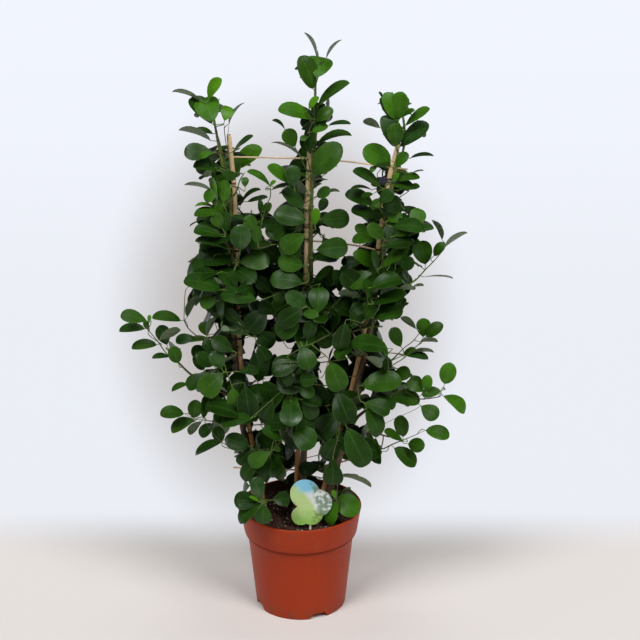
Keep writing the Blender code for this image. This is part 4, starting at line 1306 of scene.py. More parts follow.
def make_bough(name, number):
    path = bough_path(name, 16)
    foot_radius = BOUGHS[name][3]
    count = len(path) - 1
    radii = [blend(foot_radius, BOUGH_TIP_RADIUS, i / count) for i in range(count + 1)]
    work = with_bark(limb(path, radii, BOUGH_SECTION), number + 10, BOUGH_BARK)
    add_piece(f"ficus_bough_{name}", work, [FINISHES["bough"]], "bark", f"bough_{name}")


def make_crossbar(level):
    """A split of bamboo with one flat side, a little crooked and torn at its ends."""
    behind = Vector((0.0, CANE_FOOT_RADIUS + CROSSBAR_RADIUS + GAP, 0.0))
    path = [point + behind for point in smooth_path(CROSSBAR_ROUTES[level], 26)]
    radii = []
    for point in path:
        point.z += noise.noise(point * 24.0) * CROSSBAR_WANDER
        radii.append(CROSSBAR_RADIUS * (1.0 + 0.12 * noise.noise(point * 75.0)))
    for end in (0, -1):
        radii[end] *= 0.7
    work = limb(path, radii, CROSSBAR_SECTION)
    flat = CROSSBAR_RADIUS * CROSSBAR_FLAT
    for vert in work.verts:
        nearest = min(path, key=lambda point: (point - vert.co).length_squared)
        if vert.co.y - nearest.y > flat:
            vert.co.y = nearest.y + flat
    add_piece(f"split_crossbar_{level}", work, [FINISHES["split"]], "bamboo", f"crossbar_{level}")


def tie_ring(side, height, spare, count):
    """Points of a loop drawn tight round the cane and its stem."""
    cane = route_point(CANE_ROUTES[side], height)
    stem = stem_centre(side, height)
    path = []
    for number in range(count):
        way = level_way(number * math.tau / count)
        on_cane = cane + way * (cane_radius(side, height) + spare)
        on_stem = stem + way * (stem_radius(side, height) + spare)
        path.append(on_cane if on_cane.dot(way) > on_stem.dot(way) else on_stem)
    return path


def make_wire_tie(side, finish):
    """Turns of thin covered wire, twisted together in front with two short ends."""
    ring = tie_ring(side, TIE_HEIGHTS[side], WIRE_RADIUS + TIE_CLEARANCE, 26)
    path = []
    for turn in range(WIRE_TURNS):
        for number, point in enumerate(ring):
            path.append(point + UP * ((turn + number / len(ring) - WIRE_TURNS / 2) * WIRE_PITCH))
    work = limb(path, [WIRE_RADIUS] * len(path), WIRE_SECTION)
    front = min(path, key=lambda point: point.y)
    for way in (-1, 1):
        tail = []
        for number in range(9):
            t = number / 8
            sway = Vector((way * (0.0006 + 0.006 * t), -0.0012 - 0.004 * t, 0.0008 + 0.007 * t * way))
            tail.append(front + sway)
        join_into(work, limb(tail, [TIE_RADIUS * 0.7] * len(tail), WIRE_SECTION))
    add_piece(f"wire_tie_{side}", work, [finish], "tie", f"tie_{side}")


def make_clip():
    """A small spring clip of navy plastic on the right cane, with its two finger tabs to the left."""
    height = TIE_HEIGHTS["right"]
    work = bmesh.new()
    for level in CLIP_LEVELS:
        ring = tie_ring("right", height, TIE_CLEARANCE + 0.0006, 30)
        ring = [point + UP * level for point in ring]
        join_into(work, limb(ring + ring[:1], [CLIP_RADIUS] * (len(ring) + 1), 8))
    cane = route_point(CANE_ROUTES["right"], height)
    for side in (-1, 1):
        tab = bmesh.new()
        bmesh.ops.create_cube(tab, size=1.0)
        bevel_edges(tab, 0.12)
        place = Matrix.Translation(cane + TAB_PLACE + Vector((0.0, side * TAB_APART, 0.0)))
        tilt = Matrix.Rotation(TAB_TILT, 4, "Y") @ Matrix.Rotation(-side * TAB_TURN, 4, "Z")
        join_into(work, tab, place @ tilt @ Matrix.Diagonal((*TAB_SIZE, 1.0)))
    join_into(work, hinge_pin(cane), material=1)
    add_piece("cane_clip", work, [FINISHES["clip"], FINISHES["wire"]], "tie", "tie_right")


def hinge_pin(cane):
    path = [cane + PIN_PLACE + UP * blend(-PIN_HALF, PIN_HALF, number / 4) for number in range(5)]
    return limb(path, [PIN_RADIUS] * len(path), 10)


def card_reach(way):
    """How far the merged round lobes of the card reach from its middle, along one direction."""
    reach = 0.0
    for x, y, radius in CARD_LOBES:
        centre = Vector((x, y))
        along = centre.dot(way)
        inside = radius**2 - centre.length_squared + along**2
        if inside > 0.0:
            reach = max(reach, along + math.sqrt(inside))
    return reach


def make_label():
    """The plant label: a lobed card with a generic print, bent a little, on a thin stick."""
    work = bmesh.new()
    bmesh.ops.create_circle(work, cap_ends=True, segments=CARD_POINTS, radius=1.0)
    bmesh.ops.inset_region(work, faces=work.faces[:], thickness=CARD_RIM)
    for vert in work.verts:
        way = Vector((vert.co.x, vert.co.y)).normalized()
        share = vert.co.length
        vert.co = Vector((*(way * card_reach(way) * share), 0.0))
    bmesh.ops.solidify(work, geom=work.faces[:], thickness=CARD_THICKNESS)
    bmesh.ops.recalc_face_normals(work, faces=work.faces)
    for vert in work.verts:
        vert.co.z += CARD_THICKNESS / 2 - CARD_BEND * vert.co.x**2
    stand = Matrix.Rotation(math.radians(90) + CARD_LEAN, 4, "X")
    bmesh.ops.transform(work, matrix=Matrix.Translation(CARD_MIDDLE) @ stand, verts=work.verts)
    add_piece("label", work, [FINISHES["card"]], "label_card", "label_card")
    make_label_stick()


def make_label_stick():
    """The flat stick behind the card, which leans as the card does and stands in the soil."""
    stick = bmesh.new()
    bmesh.ops.create_cube(stick, size=1.0)
    foot = SOIL_TOP - STICK_SUNK
    behind = CARD_THICKNESS / 2 + STICK_THICKNESS / 2 + GAP
    for vert in stick.verts:
        vert.co.x = CARD_MIDDLE.x + vert.co.x * STICK_WIDTH
        height = STICK_TOP if vert.co.z > 0 else foot
        lean = (height - CARD_MIDDLE.z) * math.tan(-CARD_LEAN)
        vert.co.y = CARD_MIDDLE.y + behind / math.cos(CARD_LEAN) + lean + vert.co.y * STICK_THICKNESS
        vert.co.z = height
    bevel_edges(stick, STICK_EDGE)
    add_piece("label_stake", stick, [FINISHES["stick"]], "label_stick", "label_stick")


def from_pixel(x, y, depth):
    """The point on the plane Y = depth that shows at a pixel of the photograph."""
    half = PHOTO_SIZE / 2
    across = Vector((1.0, 0.0, 0.0)) * ((x - half) / FOCAL_PIXELS)
    ray = FORWARD + across + UPWARD * ((half - y) / FOCAL_PIXELS)
    return CAMERA_PLACE + ray * ((depth - CAMERA_PLACE.y) / ray.y)


def to_pixel(point):
    """The pixel at which a point shows in the photograph, and how far it is in front of the camera."""
    away = point - CAMERA_PLACE
    distance = away.dot(FORWARD)
    half = PHOTO_SIZE / 2
    x = half + FOCAL_PIXELS * away.x / distance
    return x, half - FOCAL_PIXELS * away.dot(UPWARD) / distance, distance


class Mass:
    """One of the model's closed masses of foliage, which the leaves fill."""

    def __init__(self, node):
        self.node = node
        self.low, self.high = [Vector(corner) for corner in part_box(node)]
        self.middle = (self.low + self.high) / 2
        mesh = bpy.data.objects[node].data
        self.tree = BVHTree.FromPolygons(
            [vert.co.copy() for vert in mesh.vertices], [list(face.vertices) for face in mesh.polygons]
        )
        self.is_spray = "spray" in node
        self.is_tip = node.endswith("_tip")

    def is_hit(self, ray):
        """Whether a ray from the camera meets the mass, by its box first."""
        reach = (self.middle - CAMERA_PLACE).length / ray.length
        aside = CAMERA_PLACE + ray * reach - self.middle
        if abs(aside.x) > self.high.x - self.low.x or abs(aside.z) > HULL_SLACK:
            return False
        return self.tree.ray_cast(CAMERA_PLACE, ray)[0] is not None

    def holds(self, point):
        if not all(self.low[axis] <= point[axis] <= self.high[axis] for axis in range(3)):
            return False
        place, normal, _, _ = self.tree.find_nearest(point)
        return (point - place).dot(normal) < 0.0

    def nearness(self, point):
        """How far a point is from the middle, as a share of the mass's own size."""
        halves = (self.high - self.low) / 2
        offset = point - self.middle
        return math.hypot(offset.x / halves.x, offset.z / halves.z)


class Foliage:
    """All the leaves, and the twigs that a seeded branching rule grows to carry them."""

    def __init__(self):
        self.rng = random.Random(SEED)
        nodes = [name for name in frame["nodes"] if name.startswith("leaves_")]
        self.masses = [Mass(name) for name in sorted(nodes)]
        self.leaves = []
        self.shoots = []
        self.wood = np.zeros((WOOD_ROOM, 3))
        self.reach = np.zeros(WOOD_ROOM)
        self.limb_count = 0
        self.middles = np.zeros((WOOD_ROOM, 3))
        self.front = np.full((PHOTO_SIZE, PHOTO_SIZE), np.inf)
        self.covered = np.zeros((PHOTO_SIZE, PHOTO_SIZE), bool)
        self.hull = self.cast_hull()
        self.inner_hull = self.drawn_in(DENSE_EDGE)
        airy_rows = AIRY_ABOVE // HULL_CELL
        self.inner_hull[:airy_rows] = self.drawn_in(AIRY_EDGE)[:airy_rows]

    def cast_hull(self):
        """Which cells of the photograph the closed masses stand behind, without tips and sprays."""
        cells = PHOTO_SIZE // HULL_CELL
        hull = np.zeros((cells, cells), bool)
        full = [mass for mass in self.masses if not mass.is_spray and not mass.is_tip]
        for row in range(cells):
            for column in range(cells):
                x, y = (column + 0.5) * HULL_CELL, (row + 0.5) * HULL_CELL
                ray = from_pixel(x, y, 0.0) - CAMERA_PLACE
                hull[row, column] = any(mass.is_hit(ray) for mass in full)
        return hull

    def drawn_in(self, cells):
        """The hull, drawn in from its edge by a number of cells."""
        hull = self.hull
        for _ in range(cells):
            smaller = hull.copy()
            for shift, axis in ((1, 0), (-1, 0), (1, 1), (-1, 1)):
                smaller &= np.roll(hull, shift, axis)
            hull = smaller
        return hull

    def mass_at(self, x, y):
        """The first mass that a ray from the camera meets at a pixel, and where; else the nearest one."""
        ray = (from_pixel(x, y, 0.0) - CAMERA_PLACE).normalized()
        best = None
        for mass in self.masses:
            place, _, _, distance = mass.tree.ray_cast(CAMERA_PLACE, ray)
            if place is not None and (best is None or distance < best[2]):
                best = (mass, place, distance)
        if best is not None:
            return best[0], best[1].y
        guess = min(self.masses, key=lambda mass: mass.nearness(from_pixel(x, y, mass.middle.y)))
        return guess, guess.middle.y

    def add_seen_leaf(self, foot_x, foot_y, tip_x, tip_y, width, tint, nearer=0.0):
        """Sets a leaf where the photograph shows it, and moves it back if it comes too far forward."""
        mass, depth = self.mass_at((foot_x + tip_x) / 2, (foot_y + tip_y) / 2)
        if mass.is_spray:
            depth = mass.middle.y + self.rng.uniform(-SPRAY_DEPTH, SPRAY_DEPTH)
        depth -= nearer / 1000
        pixels = (foot_x, foot_y, tip_x, tip_y)
        turn = self.rng.choice((-1, 1))
        leaf = self.leaf_by_pixels(pixels, width, tint, depth, turn)
        excess = FRONT_LIMIT - min(point.y for point in leaf.outline())
        if excess > 0.0:
            leaf = self.leaf_by_pixels(pixels, width, tint, depth + excess, turn)
        self.keep(leaf)
        self.cover(leaf, True)

    def leaf_by_pixels(self, pixels, width, tint, depth, turn):
        """A leaf at a depth, turned so that it looks as long and as wide as in the photograph.

        One that looks shorter than it is leans away if its tip is up, and to the camera if it hangs.
        """
        foot = from_pixel(*pixels[:2], depth)
        tip = from_pixel(*pixels[2:], depth)
        to_camera = (CAMERA_PLACE - foot).normalized()
        seen_width = width * (CAMERA_PLACE - foot).length / FOCAL_PIXELS
        seen = tip - foot
        length = seen.length
        full_width = LEAF_SLIMNESS * length
        axis = seen.normalized()
        if seen_width > full_width:
            full_width = seen_width
            length = max(length, min(seen_width / LEAF_ROUNDEST, LEAF_LENGTHS[1]))
            towards_camera = (pixels[3] > pixels[1]) != (tint == PALE)
            lean = math.acos(min(seen.length / length, 1.0)) * (1 if towards_camera else -1)
            axis = (axis * math.cos(lean) + to_camera * math.sin(lean)).normalized()
        full_width = min(max(full_width, LEAF_WIDTHS[0]), LEAF_WIDTHS[1])
        side = axis.cross(to_camera).normalized()
        facing = side.cross(axis).normalized()
        roll = math.acos(min(seen_width / full_width, 1.0))
        rolled = side if side.z > 0 else -side
        if abs(side.z) < UPRIGHT_SIDE:
            rolled = side * turn
        if tint == PALE:
            facing = -facing
            tint = MID
        normal = facing * math.cos(roll) + rolled * math.sin(roll)
        return Leaf(foot, axis, normal.normalized(), length, full_width, tint, self.rng)

    def keep(self, leaf):
        self.middles[len(self.leaves)] = leaf.middle()
        self.leaves.append(leaf)

    def cover(self, leaf, seen):
        """Notes which pixels a leaf covers, and for a seen one how near it is there."""
        outline = [to_pixel(point) for point in leaf.outline()]
        distance = min(point[2] for point in outline)
        xs = np.array([point[0] for point in outline])
        ys = np.array([point[1] for point in outline])
        x0, x1 = max(int(xs.min()), 0), min(int(xs.max()) + 2, PHOTO_SIZE)
        y0, y1 = max(int(ys.min()), 0), min(int(ys.max()) + 2, PHOTO_SIZE)
        grid_x, grid_y = np.meshgrid(np.arange(x0, x1) + 0.5, np.arange(y0, y1) + 0.5)
        inside = np.zeros(grid_x.shape, bool)
        for i in range(len(xs)):
            j = i - 1
            crosses = (ys[i] > grid_y) != (ys[j] > grid_y)
            rise = ys[j] - ys[i] if ys[j] != ys[i] else 1e-9
            edge = (xs[j] - xs[i]) * (grid_y - ys[i]) / rise + xs[i]
            inside ^= crosses & (grid_x < edge)
        self.covered[y0:y1, x0:x1] |= inside
        if seen:
            part = self.front[y0:y1, x0:x1]
            part[inside] = np.minimum(part[inside], distance)

    def held_by(self, point):
        return any(mass.holds(point) for mass in self.masses)

    def outward(self, point):
        """The way to the open air from inside the foliage, or None deep inside."""
        ways = [level_way(number * math.tau / 8) for number in range(8)]
        ways += [UP * 0.8, UP * -0.6]
        open_ways = [way for way in ways if not self.held_by(point + way * FILL_SHELL)]
        if not open_ways:
            return None
        total = sum(open_ways, Vector())
        if total.length < 0.2:
            total = self.rng.choice(open_ways)
        return total.normalized()

    def may_show(self, leaf):
        """Whether a filling leaf keeps clear of the sky, the bare canes and the leaves seen in front."""
        rib = [leaf.foot + leaf.axis * (leaf.length * share) for share in (0.25, 0.5, 0.75)]
        points = [to_pixel(point) for point in (*leaf.outline(), *rib)]
        stray = 0
        kept_clear = SKY_GAPS + CLEAR_VIEWS if leaf.foot.y < CLEAR_BEFORE else SKY_GAPS
        for x, y, distance in points:
            if any(x0 < x < x1 and y0 < y < y1 for x0, y0, x1, y1 in kept_clear):
                return False
            near = self.front[int(y), int(x)]
            if distance < near < np.inf:
                return False
            if near == np.inf and not self.inner_hull[int(y) // HULL_CELL, int(x) // HULL_CELL]:
                stray += 1
        return stray <= len(points) * FILL_STRAY

    def random_way(self, spread):
        return Vector([self.rng.gauss(0.0, spread) for _ in range(3)])

    def try_leaf(self, point, out, spacing, tints, lengths=LEAF_LENGTHS):
        """Grows a leaf round a point, with its foot towards the wood, if it has room and may show."""
        rng = self.rng
        count = len(self.leaves)
        gaps = np.linalg.norm(self.middles[:count] - np.array(point), axis=1)
        if count and gaps.min() < spacing:
            return False
        wood = self.wood[: len(self.shoots)] - np.array(point)
        nearest = Vector(wood[np.argmin(np.linalg.norm(wood, axis=1) - wood[:, 2] * 0.3)])
        length = rng.uniform(*lengths)
        width = length * rng.uniform(*FILL_SLIMNESS)
        away = -nearest.normalized()
        normal = out * FACING["out"] + UP * FACING["up"] + self.random_way(FACING["chance"])
        normal.normalize()
        wish = away * POINTING["away"] + out * POINTING["out"] + self.random_way(POINTING["chance"])
        axis = (wish - normal * wish.dot(normal)).normalized()
        foot = point - axis * (length / 2)
        leaf = Leaf(foot, axis, normal, length, width, rng.choices(*tints)[0], rng)
        depths = [corner.y for corner in leaf.outline()]
        if min(depths) < FRONT_LIMIT or max(depths) > BACK_LIMIT or not self.may_show(leaf):
            return False
        if (self.nearest_shoot(foot, axis).place - foot).length > TWIG_REACH:
            return False
        self.keep(leaf)
        self.cover(leaf, False)
        self.join(leaf)
        return True

    def fill(self):
        """Throws leaves into the masses until no more fit at their spacing."""
        rng = self.rng
        volumes = [math.prod(mass.high - mass.low) for mass in self.masses]
        for _ in range(FILL_TRIES):
            mass = rng.choices(self.masses, volumes)[0]
            point = Vector([rng.uniform(mass.low[axis], mass.high[axis]) for axis in range(3)])
            if mass.holds(point):
                out = self.outward(point)
                if out is not None:
                    # Painted shade: leaves low down and in front get darker tints.
                    front_tints = LOW_TINTS if point.z < LOW_BELOW else FRONT_TINTS
                    self.try_leaf(point, out, FILL_SPACING, front_tints if point.y < 0.0 else BACK_TINTS)

    def darken(self):
        """Grows leaves behind the places of the dense foliage where light would still shine through, in the
        darkest tints as painted shade.
        """
        rng = self.rng
        places = range(0, PHOTO_SIZE, 3)
        open_pixels = [
            (x, y)
            for y in places
            for x in places
            if not self.covered[y, x] and self.inner_hull[y // HULL_CELL, x // HULL_CELL]
        ]
        for _ in range(DARKEN_ROUNDS):
            rng.shuffle(open_pixels)
            for x, y in open_pixels:
                if self.covered[y, x]:
                    continue
                depth = rng.uniform(*DARKEN_DEPTHS)
                point = from_pixel(x + rng.uniform(-4, 4), y + rng.uniform(-4, 4), depth)
                if self.held_by(point):
                    self.try_leaf(point, DARKEN_WAY, DARKEN_SPACING, INNER_TINTS, DARKEN_LENGTHS)

    def add_shoot(self, place, parent, fixed=False):
        shoot = Shoot(place, parent, fixed)
        self.wood[len(self.shoots)] = place
        self.reach[len(self.shoots)] = 0.0 if fixed else self.reach_of(place)
        self.shoots.append(shoot)
        return shoot

    def reach_of(self, point):
        """How far a point is from the nearest stem or bough."""
        return np.linalg.norm(self.wood[: self.limb_count] - np.array(point), axis=1).min()

    def limb_points(self):
        """Points along the stems and boughs from which twigs may spring."""
        for side in SIDES:
            low, high = SOIL_TOP + TWIGS_FROM, STEM_TIPS[side][-1][2]
            count = int((high - low) / LIMB_STEP)
            previous = None
            for number in range(count + 1):
                height = blend(low, high, number / count)
                previous = self.add_shoot(stem_centre(side, height), previous, True)
        for name in BOUGHS:
            previous = None
            for point in bough_path(name, 6):
                previous = self.add_shoot(point, previous, True)
        self.limb_count = len(self.shoots)

    def nearest_shoot(self, point, way):
        """The shoot that a new twig would best spring from: near, further in, and not above the leaf."""
        count = len(self.shoots)
        offsets = np.array(point) - self.wood[:count]
        distances = np.linalg.norm(offsets, axis=1) + 1e-6
        turns = 1 - offsets @ np.array(way) / distances
        costs = distances * (1 + TURN_COST * turns) - HANG_COST * np.minimum(offsets[:, 2], 0.0)
        inwards = self.reach[:count] - self.reach_of(point) + INWARD_MARGIN
        costs += INWARD_COST * np.maximum(inwards, 0.0)
        costs += BACKWARD_COST * np.maximum(offsets[:, 1], 0.0)
        return self.shoots[int(np.argmin(costs))]

    def grow_to(self, point, way):
        """Grows a twig from the best shoot to a point, bending into the way that the leaf takes."""
        start = self.nearest_shoot(point, way)
        gap = (point - start.place).length
        if gap < TWIG_STEP / 2:
            return start
        pull = min(gap, TWIG_BEND)
        lift = start.direction() * TWIG_KEEPS_WAY + (point - start.place).normalized()
        lift.normalize()
        count = max(2, int(gap / TWIG_STEP))
        last = start
        for number in range(1, count + 1):
            t = number / count
            last = self.add_shoot(eased(start.place, lift * pull, point, way * pull, t), last)
        return last

    def add_seen_twig(self, pixels):
        """A bare twig where the photograph shows it, springing from the nearest limb."""
        mass, _ = self.mass_at(*pixels[-1])
        depth = mass.middle.y if mass.is_spray else mass.low.y * 0.45
        knots = [from_pixel(x, y, depth) for x, y in pixels]
        first = self.nearest_shoot(knots[0], (knots[1] - knots[0]).normalized())
        bridge = (knots[0] + first.place) / 2
        last = first
        for point in smooth_path([first.place, bridge, *knots], 3)[1:]:
            last = self.add_shoot(point, last)

    def join(self, leaf):
        """Grows the twig that a leaf hangs on, up to the start of its stalk."""
        stalk_way = (leaf.axis * STALK_ALONG - leaf.normal * STALK_BELOW).normalized()
        shoot = self.grow_to(leaf.foot - stalk_way * STALK_LENGTH, leaf.axis)
        leaf.stalk_from = shoot.place
        shoot.carry_leaf()

    def join_seen_leaves(self):
        """Joins the leaves that the photograph shows, the ones nearest to a limb first."""
        self.limb_points()
        for pixels in SEEN_TWIGS:
            self.add_seen_twig(pixels)
        firm = self.wood[: len(self.shoots)]
        from_wood = {leaf: np.linalg.norm(firm - np.array(leaf.foot), axis=1).min() for leaf in self.leaves}
        for leaf in sorted(self.leaves, key=from_wood.get):
            self.join(leaf)

    def twig_runs(self):
        """The unbroken runs of twig, each from where it springs to its tip."""
        children = {}
        for shoot in self.shoots:
            if shoot.parent is not None:
                children.setdefault(shoot.parent, []).append(shoot)
        runs = []
        for shoot in self.shoots:
            if shoot.fixed or shoot.parent is None:
                continue
            main = max(children[shoot.parent], key=lambda one: one.load)
            if shoot is main and not shoot.parent.fixed:
                continue
            run = [shoot.parent, shoot]
            while run[-1] in children:
                run.append(max(children[run[-1]], key=lambda one: one.load))
            runs.append(run)
        return runs


class Shoot:
    """A point of the plant's wood, which knows what it springs from and how many leaves it carries."""

    def __init__(self, place, parent, fixed=False):
        self.place = place
        self.parent = parent
        self.fixed = fixed
        self.load = 0

    def direction(self):
        if self.parent is None:
            return UP
        return (self.place - self.parent.place).normalized()

    def carry_leaf(self):
        shoot = self
        while shoot is not None and not shoot.fixed:
            shoot.load += 1
            shoot = shoot.parent

    def radius(self):
        return TWIG_RADIUS + TWIG_GAIN * min(self.load, TWIG_FULL_LOAD) ** TWIG_POWER


class Leaf:
    """One leaf: where its blade begins, the way it points and faces, and its size and tint."""

    def __init__(self, foot, axis, normal, length, width, tint, rng):
        self.foot = foot
        self.axis = axis
        self.normal = (normal - axis * normal.dot(axis)).normalized()
        self.length = length
        self.width = width
        self.tint = tint
        self.pattern = rng.randrange(PATTERN_COUNT)
        self.stalk_from = None

    def middle(self):
        return self.foot + self.axis * (self.length / 2)

    def side(self):
        return self.axis.cross(self.normal)

    def outline(self):
        """The blade's edge in a few points, for what it hides and whether it fits."""
        points = []
        for t in OUTLINE_STATIONS:
            half = self.width / 2 * blade_width(t, OUTLINE_WEDGE)
            middle = self.foot + self.axis * (t * self.length)
            points.append(middle + self.side() * half)
            points.insert(0, middle - self.side() * half)
        return points

    def matrix(self):
        rise = (self.length + self.width) / 2
        return placing(self.foot, self.side() * self.width, self.axis * self.length, self.normal * rise)


def blade_width(t, wedge):
    """The half width of a leaf at a share of its length: wedge-shaped at the foot, round at the tip."""
    if t <= 0.0 or t >= 1.0:
        return 0.0
    widest = wedge / (wedge + 0.5)
    return (t / widest) ** wedge * ((1 - t) / (1 - widest)) ** 0.5


def blade_sheet(across_count, shape, thickness):
    """One face of a blade, as a grid that is drawn in to the leaf's outline."""
    sheet = bmesh.new()
    along_count = len(BLADE_STATIONS) - 1
    bmesh.ops.create_grid(sheet, x_segments=across_count, y_segments=along_count, size=0.5)
    layer = sheet.loops.layers.uv.new("blade")
    for vert in sheet.verts:
        vert.co.y = BLADE_STATIONS[round((vert.co.y + 0.5) * along_count)]
    for face in sheet.faces:
        for loop in face.loops:
            loop[layer].uv = (loop.vert.co.x + 0.5, loop.vert.co.y)
    for vert in sheet.verts:
        across, t = vert.co.x * 2, vert.co.y
        half = 0.5 * blade_width(t, shape["wedge"])
        rise = shape["fold"] * abs(across) * half + shape["crown"] * (1 - across**2) * half * 2
        rise += shape["bow"] * 4 * t * (1 - t) + shape["twist"] * across * half * t
        rise += shape["wave"] * math.sin(t * WAVES_ALONG + across * WAVES_ACROSS) * abs(across)
        if abs(across) < 0.99 and 0.0 < t < 1.0:
            rise -= thickness
        vert.co = Vector((across * half, t, rise))
    return sheet


def leaf_pattern(number):
    """A blade one unit long and wide: two convex halves that meet in the groove of the midrib."""
    rng = random.Random(100 + number)
    shape = {name: rng.uniform(*limits) for name, limits in BLADE_SHAPES.items()}
    work = blade_sheet(BLADE_ACROSS, shape, 0.0)
    lower = blade_sheet(2, shape, BLADE_THICKNESS)
    bmesh.ops.reverse_faces(lower, faces=lower.faces)
    join_into(work, lower, material=1)
    bmesh.ops.remove_doubles(work, verts=work.verts, dist=0.0005)
    return mesh_of(work, f"leaf_pattern_{number}")


def make_leaves(foliage, mass_nodes):
    """All blades of one tint as one piece, each with its glossy face above and its pale one below."""
    patterns = [leaf_pattern(number) for number in range(PATTERN_COUNT)]
    for tint in LEAF_TINTS:
        work = bmesh.new()
        for leaf in foliage.leaves:
            if leaf.tint == tint:
                blade = patterns[leaf.pattern].copy()
                blade.transform(leaf.matrix())
                work.from_mesh(blade)
                bpy.data.meshes.remove(blade)
        finishes = [FINISHES[f"leaf_{tint}"], FINISHES["underside"]]
        add_piece(f"ficus_leaves_{tint}", work, finishes, "leaves", *mass_nodes, sharp_from=70)
    for pattern in patterns:
        bpy.data.meshes.remove(pattern)


def make_stalks(foliage):
    """The short stalk of every leaf, from its twig a little way under the blade."""
    work = bmesh.new()
    for leaf in foliage.leaves:
        start = leaf.stalk_from
        end = leaf.foot + leaf.axis * (leaf.length * STALK_UNDER_BLADE)
        gap = (end - start).length
        sag = UP * (gap * 0.06) - leaf.normal * (gap * 0.05)
        middle = (start + end) / 2 + sag
        path = smooth_path((start, middle, end), 2)
        join_into(work, limb(path, STALK_RADII, STALK_SECTION))
    add_piece("leaf_stalks", work, [FINISHES["stalk"]], "leaves")


def make_twigs(foliage, mass_nodes):
    """Every run of twig as one tapering limb, thicker where it carries more leaves."""
    work = bmesh.new()
    for run in foliage.twig_runs():
        path = [shoot.place for shoot in run]
        radii = [shoot.radius() for shoot in run[1:]]
        join_into(work, limb(path, [radii[0], *radii], TWIG_SECTION))
    add_piece("ficus_twigs", work, [FINISHES["twig"]], "bark", *mass_nodes)


def make_buds():
    """The pointed buds at the tips of the stems."""
    work = bmesh.new()
    last = len(BUD_RADII) - 1
    for side in SIDES:
        tip = stem_centre(side, STEM_TIPS[side][-1][2])
        path = [tip + UP * blend(*BUD_ENDS, number / last) for number in range(last + 1)]
        join_into(work, limb(path, BUD_RADII, BUD_SECTION))
    add_piece("shoot_buds", work, [FINISHES["stalk"]], "leaves")


def make_stage():
    """A wide pale floor, faintly warm under the plant, that passes into an even glow behind it."""
    work = bmesh.new()
    bmesh.ops.create_grid(work, x_segments=2, y_segments=2, size=FLOOR_REACH)
    finish = Finish("studio_floor", roughness=0.9, specular_ior_level=0.1)
    far = finish.axis("Y").between(*FLOOR_GLOW)
    near = finish.mix(finish.noise(1.4, 2.0), (0.70, 0.655, 0.635), (0.72, 0.675, 0.655))
    finish.colour(finish.mix(far, near, (0.0, 0.0, 0.0)))
    finish.glow(finish.mix(far, (0.0, 0.0, 0.0), backdrop_tone(finish)))
    add_stage("studio_floor", work, finish)
    make_backdrop()


def add_stage(name, work, finish):
    mesh = mesh_of(work, name)
    mesh.materials.append(finish.material)
    ground = place_in_scene(name, mesh)
    return ground


def backdrop_tone(finish):
    """The tone of the floor behind the plant: cool white, with a soft warm shade round the plant."""
    x, y = finish.axis("X") - CAMERA_PLACE.x, finish.axis("Y") - CAMERA_PLACE.y
    lean, drop = math.cos(CAMERA_PITCH), math.sin(CAMERA_PITCH)
    distance = y * lean + CAMERA_PLACE.z * drop
    column = x / distance * FOCAL_PIXELS + PHOTO_SIZE / 2
    row = (CAMERA_PLACE.z * lean - y * drop) / distance * FOCAL_PIXELS + PHOTO_SIZE / 2
    aside = (column - SHADE_MIDDLE[0]) / SHADE_REACH[0]
    above = (row - SHADE_MIDDLE[1]) / SHADE_REACH[1]
    shade = 1 - (aside * aside + above * above).between(*SHADE_EDGE)
    wall = finish.mix(row.between(*WALL_ROWS), (0.880, 0.908, 0.985), (0.830, 0.855, 0.915))
    return finish.mix(shade, wall, (0.490, 0.458, 0.440))


def make_backdrop():
    """A plain pale dome round the floor, which only the camera sees."""
    work = bmesh.new()
    bmesh.ops.create_uvsphere(work, u_segments=48, v_segments=24, radius=DOME_RADIUS)
    bmesh.ops.reverse_faces(work, faces=work.faces)
    finish = Finish("studio_backdrop", (0.0, 0.0, 0.0), specular_ior_level=0.0)
    finish.glow(DOME_COLOUR)
    dome = add_stage("studio_backdrop", work, finish)
    dome.visible_diffuse = False
    dome.visible_glossy = False
    dome.visible_transmission = False
    dome.visible_shadow = False


def add_soft_sun(name, azimuth, elevation, strength, colour):
    """A broad, even light; azimuth 0 stands in front of the plant, and it grows to the plant's own left."""
    light = bpy.data.lights.new(name, "SUN")
    light.angle = SUN_SPREAD
    light.energy = strength
    light.color = colour
    side, lift = math.radians(azimuth), math.radians(elevation)
    way = Vector((math.sin(side) * math.cos(lift), -math.cos(side) * math.cos(lift), math.sin(lift)))
    place_in_scene(name, light).rotation_euler = way.to_track_quat("Z", "Y").to_euler()


def make_lights():
    for name, settings in SUNS.items():
        add_soft_sun(name, *settings)
    world = bpy.data.worlds.new("soft_light")
    world.use_nodes = True
    background = world.node_tree.nodes["Background"]
    background.inputs["Color"].default_value = WORLD_COLOUR
    background.inputs["Strength"].default_value = WORLD_STRENGTH
    bpy.context.scene.world = world
    bpy.context.scene.view_settings.view_transform = "Standard"


def make_camera():
    data = bpy.data.cameras.new("camera")
    data.sensor_width = SENSOR_WIDTH
    data.lens = FOCAL_PIXELS / PHOTO_SIZE * SENSOR_WIDTH
    camera = place_in_scene("camera", data)
    camera.location = CAMERA_PLACE
    camera.rotation_euler = (math.radians(90) - CAMERA_PITCH, 0.0, 0.0)
    bpy.context.scene.camera = camera


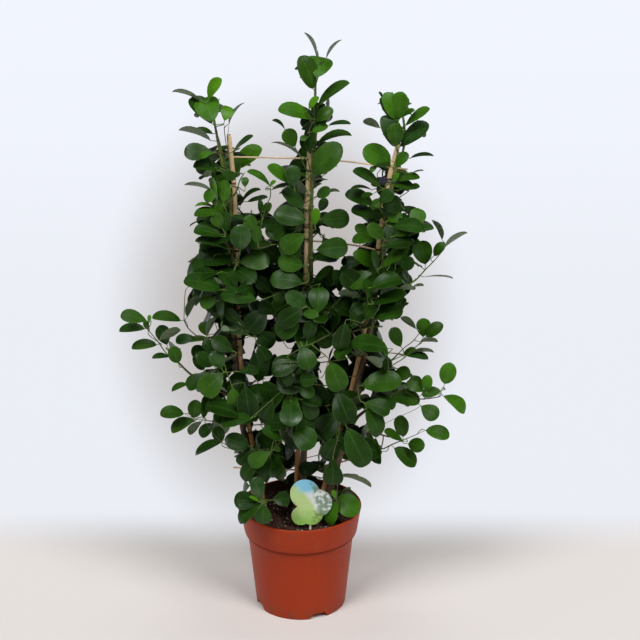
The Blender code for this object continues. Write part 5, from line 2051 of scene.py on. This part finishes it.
FINISHES = {
    "pot": pot_finish(),
    "soil": soil_finish(),
    "perlite": grained_finish(
        "perlite", (0.46, 0.37, 0.33), (0.80, 0.74, 0.70), 0.90, 600.0, 0.0005,
        strength=0.8, uneven=0.1, specular=0.2,
    ),
    "chip": grained_finish("soil_chip", (0.030, 0.016, 0.010), (0.120, 0.060, 0.036), 0.85, 160.0, 0.0008),
    "cane": cane_finish(),
    "cane_joint": grained_finish(
        "bamboo_joint", (0.120, 0.055, 0.022), (0.300, 0.160, 0.070), 0.70, 700.0, 0.0004,
        strength=0.6, uneven=0.2, specular=0.3,
    ),
    "split": split_bamboo_finish(),
    "stem": bark_finish("stem_bark", 0.44, 0.62),
    "bough": bark_finish("bough_bark", 0.36, 0.60),
    "twig": twig_finish(),
    "stalk": stalk_finish(),
    "underside": underside_finish(),
    "card": card_finish(),
    "stick": grained_finish("stick_wood", (0.60, 0.53, 0.40), (0.82, 0.77, 0.64), 0.5, 380.0, 0.0003),
    "black_tie": grained_finish(
        "black_tie", (0.008, 0.010, 0.013), (0.022, 0.024, 0.028), 0.45, 500.0, 0.0002
    ),
    "brown_tie": grained_finish(
        "brown_tie", (0.120, 0.062, 0.030), (0.260, 0.150, 0.080), 0.6, 500.0, 0.0002
    ),
    "clip": grained_finish("navy_clip", (0.014, 0.020, 0.046), (0.034, 0.044, 0.082), 0.38, 220.0, 0.0002),
    "wire": grained_finish("brown_wire", (0.200, 0.090, 0.035), (0.340, 0.180, 0.090), 0.5, 300.0, 0.0002),
}
for leaf_tint in LEAF_TINTS:
    FINISHES[f"leaf_{leaf_tint}"] = leaf_finish(leaf_tint)

make_camera()
make_stage()
make_lights()
make_pot()
make_soil()
make_label()
for cane_side in SIDES:
    make_cane(cane_side)
    make_stem(cane_side)
for bar_level in CROSSBAR_ROUTES:
    make_crossbar(bar_level)
for bough_number, bough_name in enumerate(BOUGHS):
    make_bough(bough_name, bough_number)
make_wire_tie("left", FINISHES["black_tie"])
make_wire_tie("centre", FINISHES["brown_tie"])
make_clip()

plant = Foliage()
for seen_rows in SEEN_LEAVES.values():
    for seen_row in seen_rows:
        plant.add_seen_leaf(*seen_row)
plant.join_seen_leaves()
plant.fill()
plant.darken()
mass_names = [mass.node for mass in plant.masses]
make_leaves(plant, mass_names)
make_stalks(plant)
make_twigs(plant, mass_names)
make_buds()
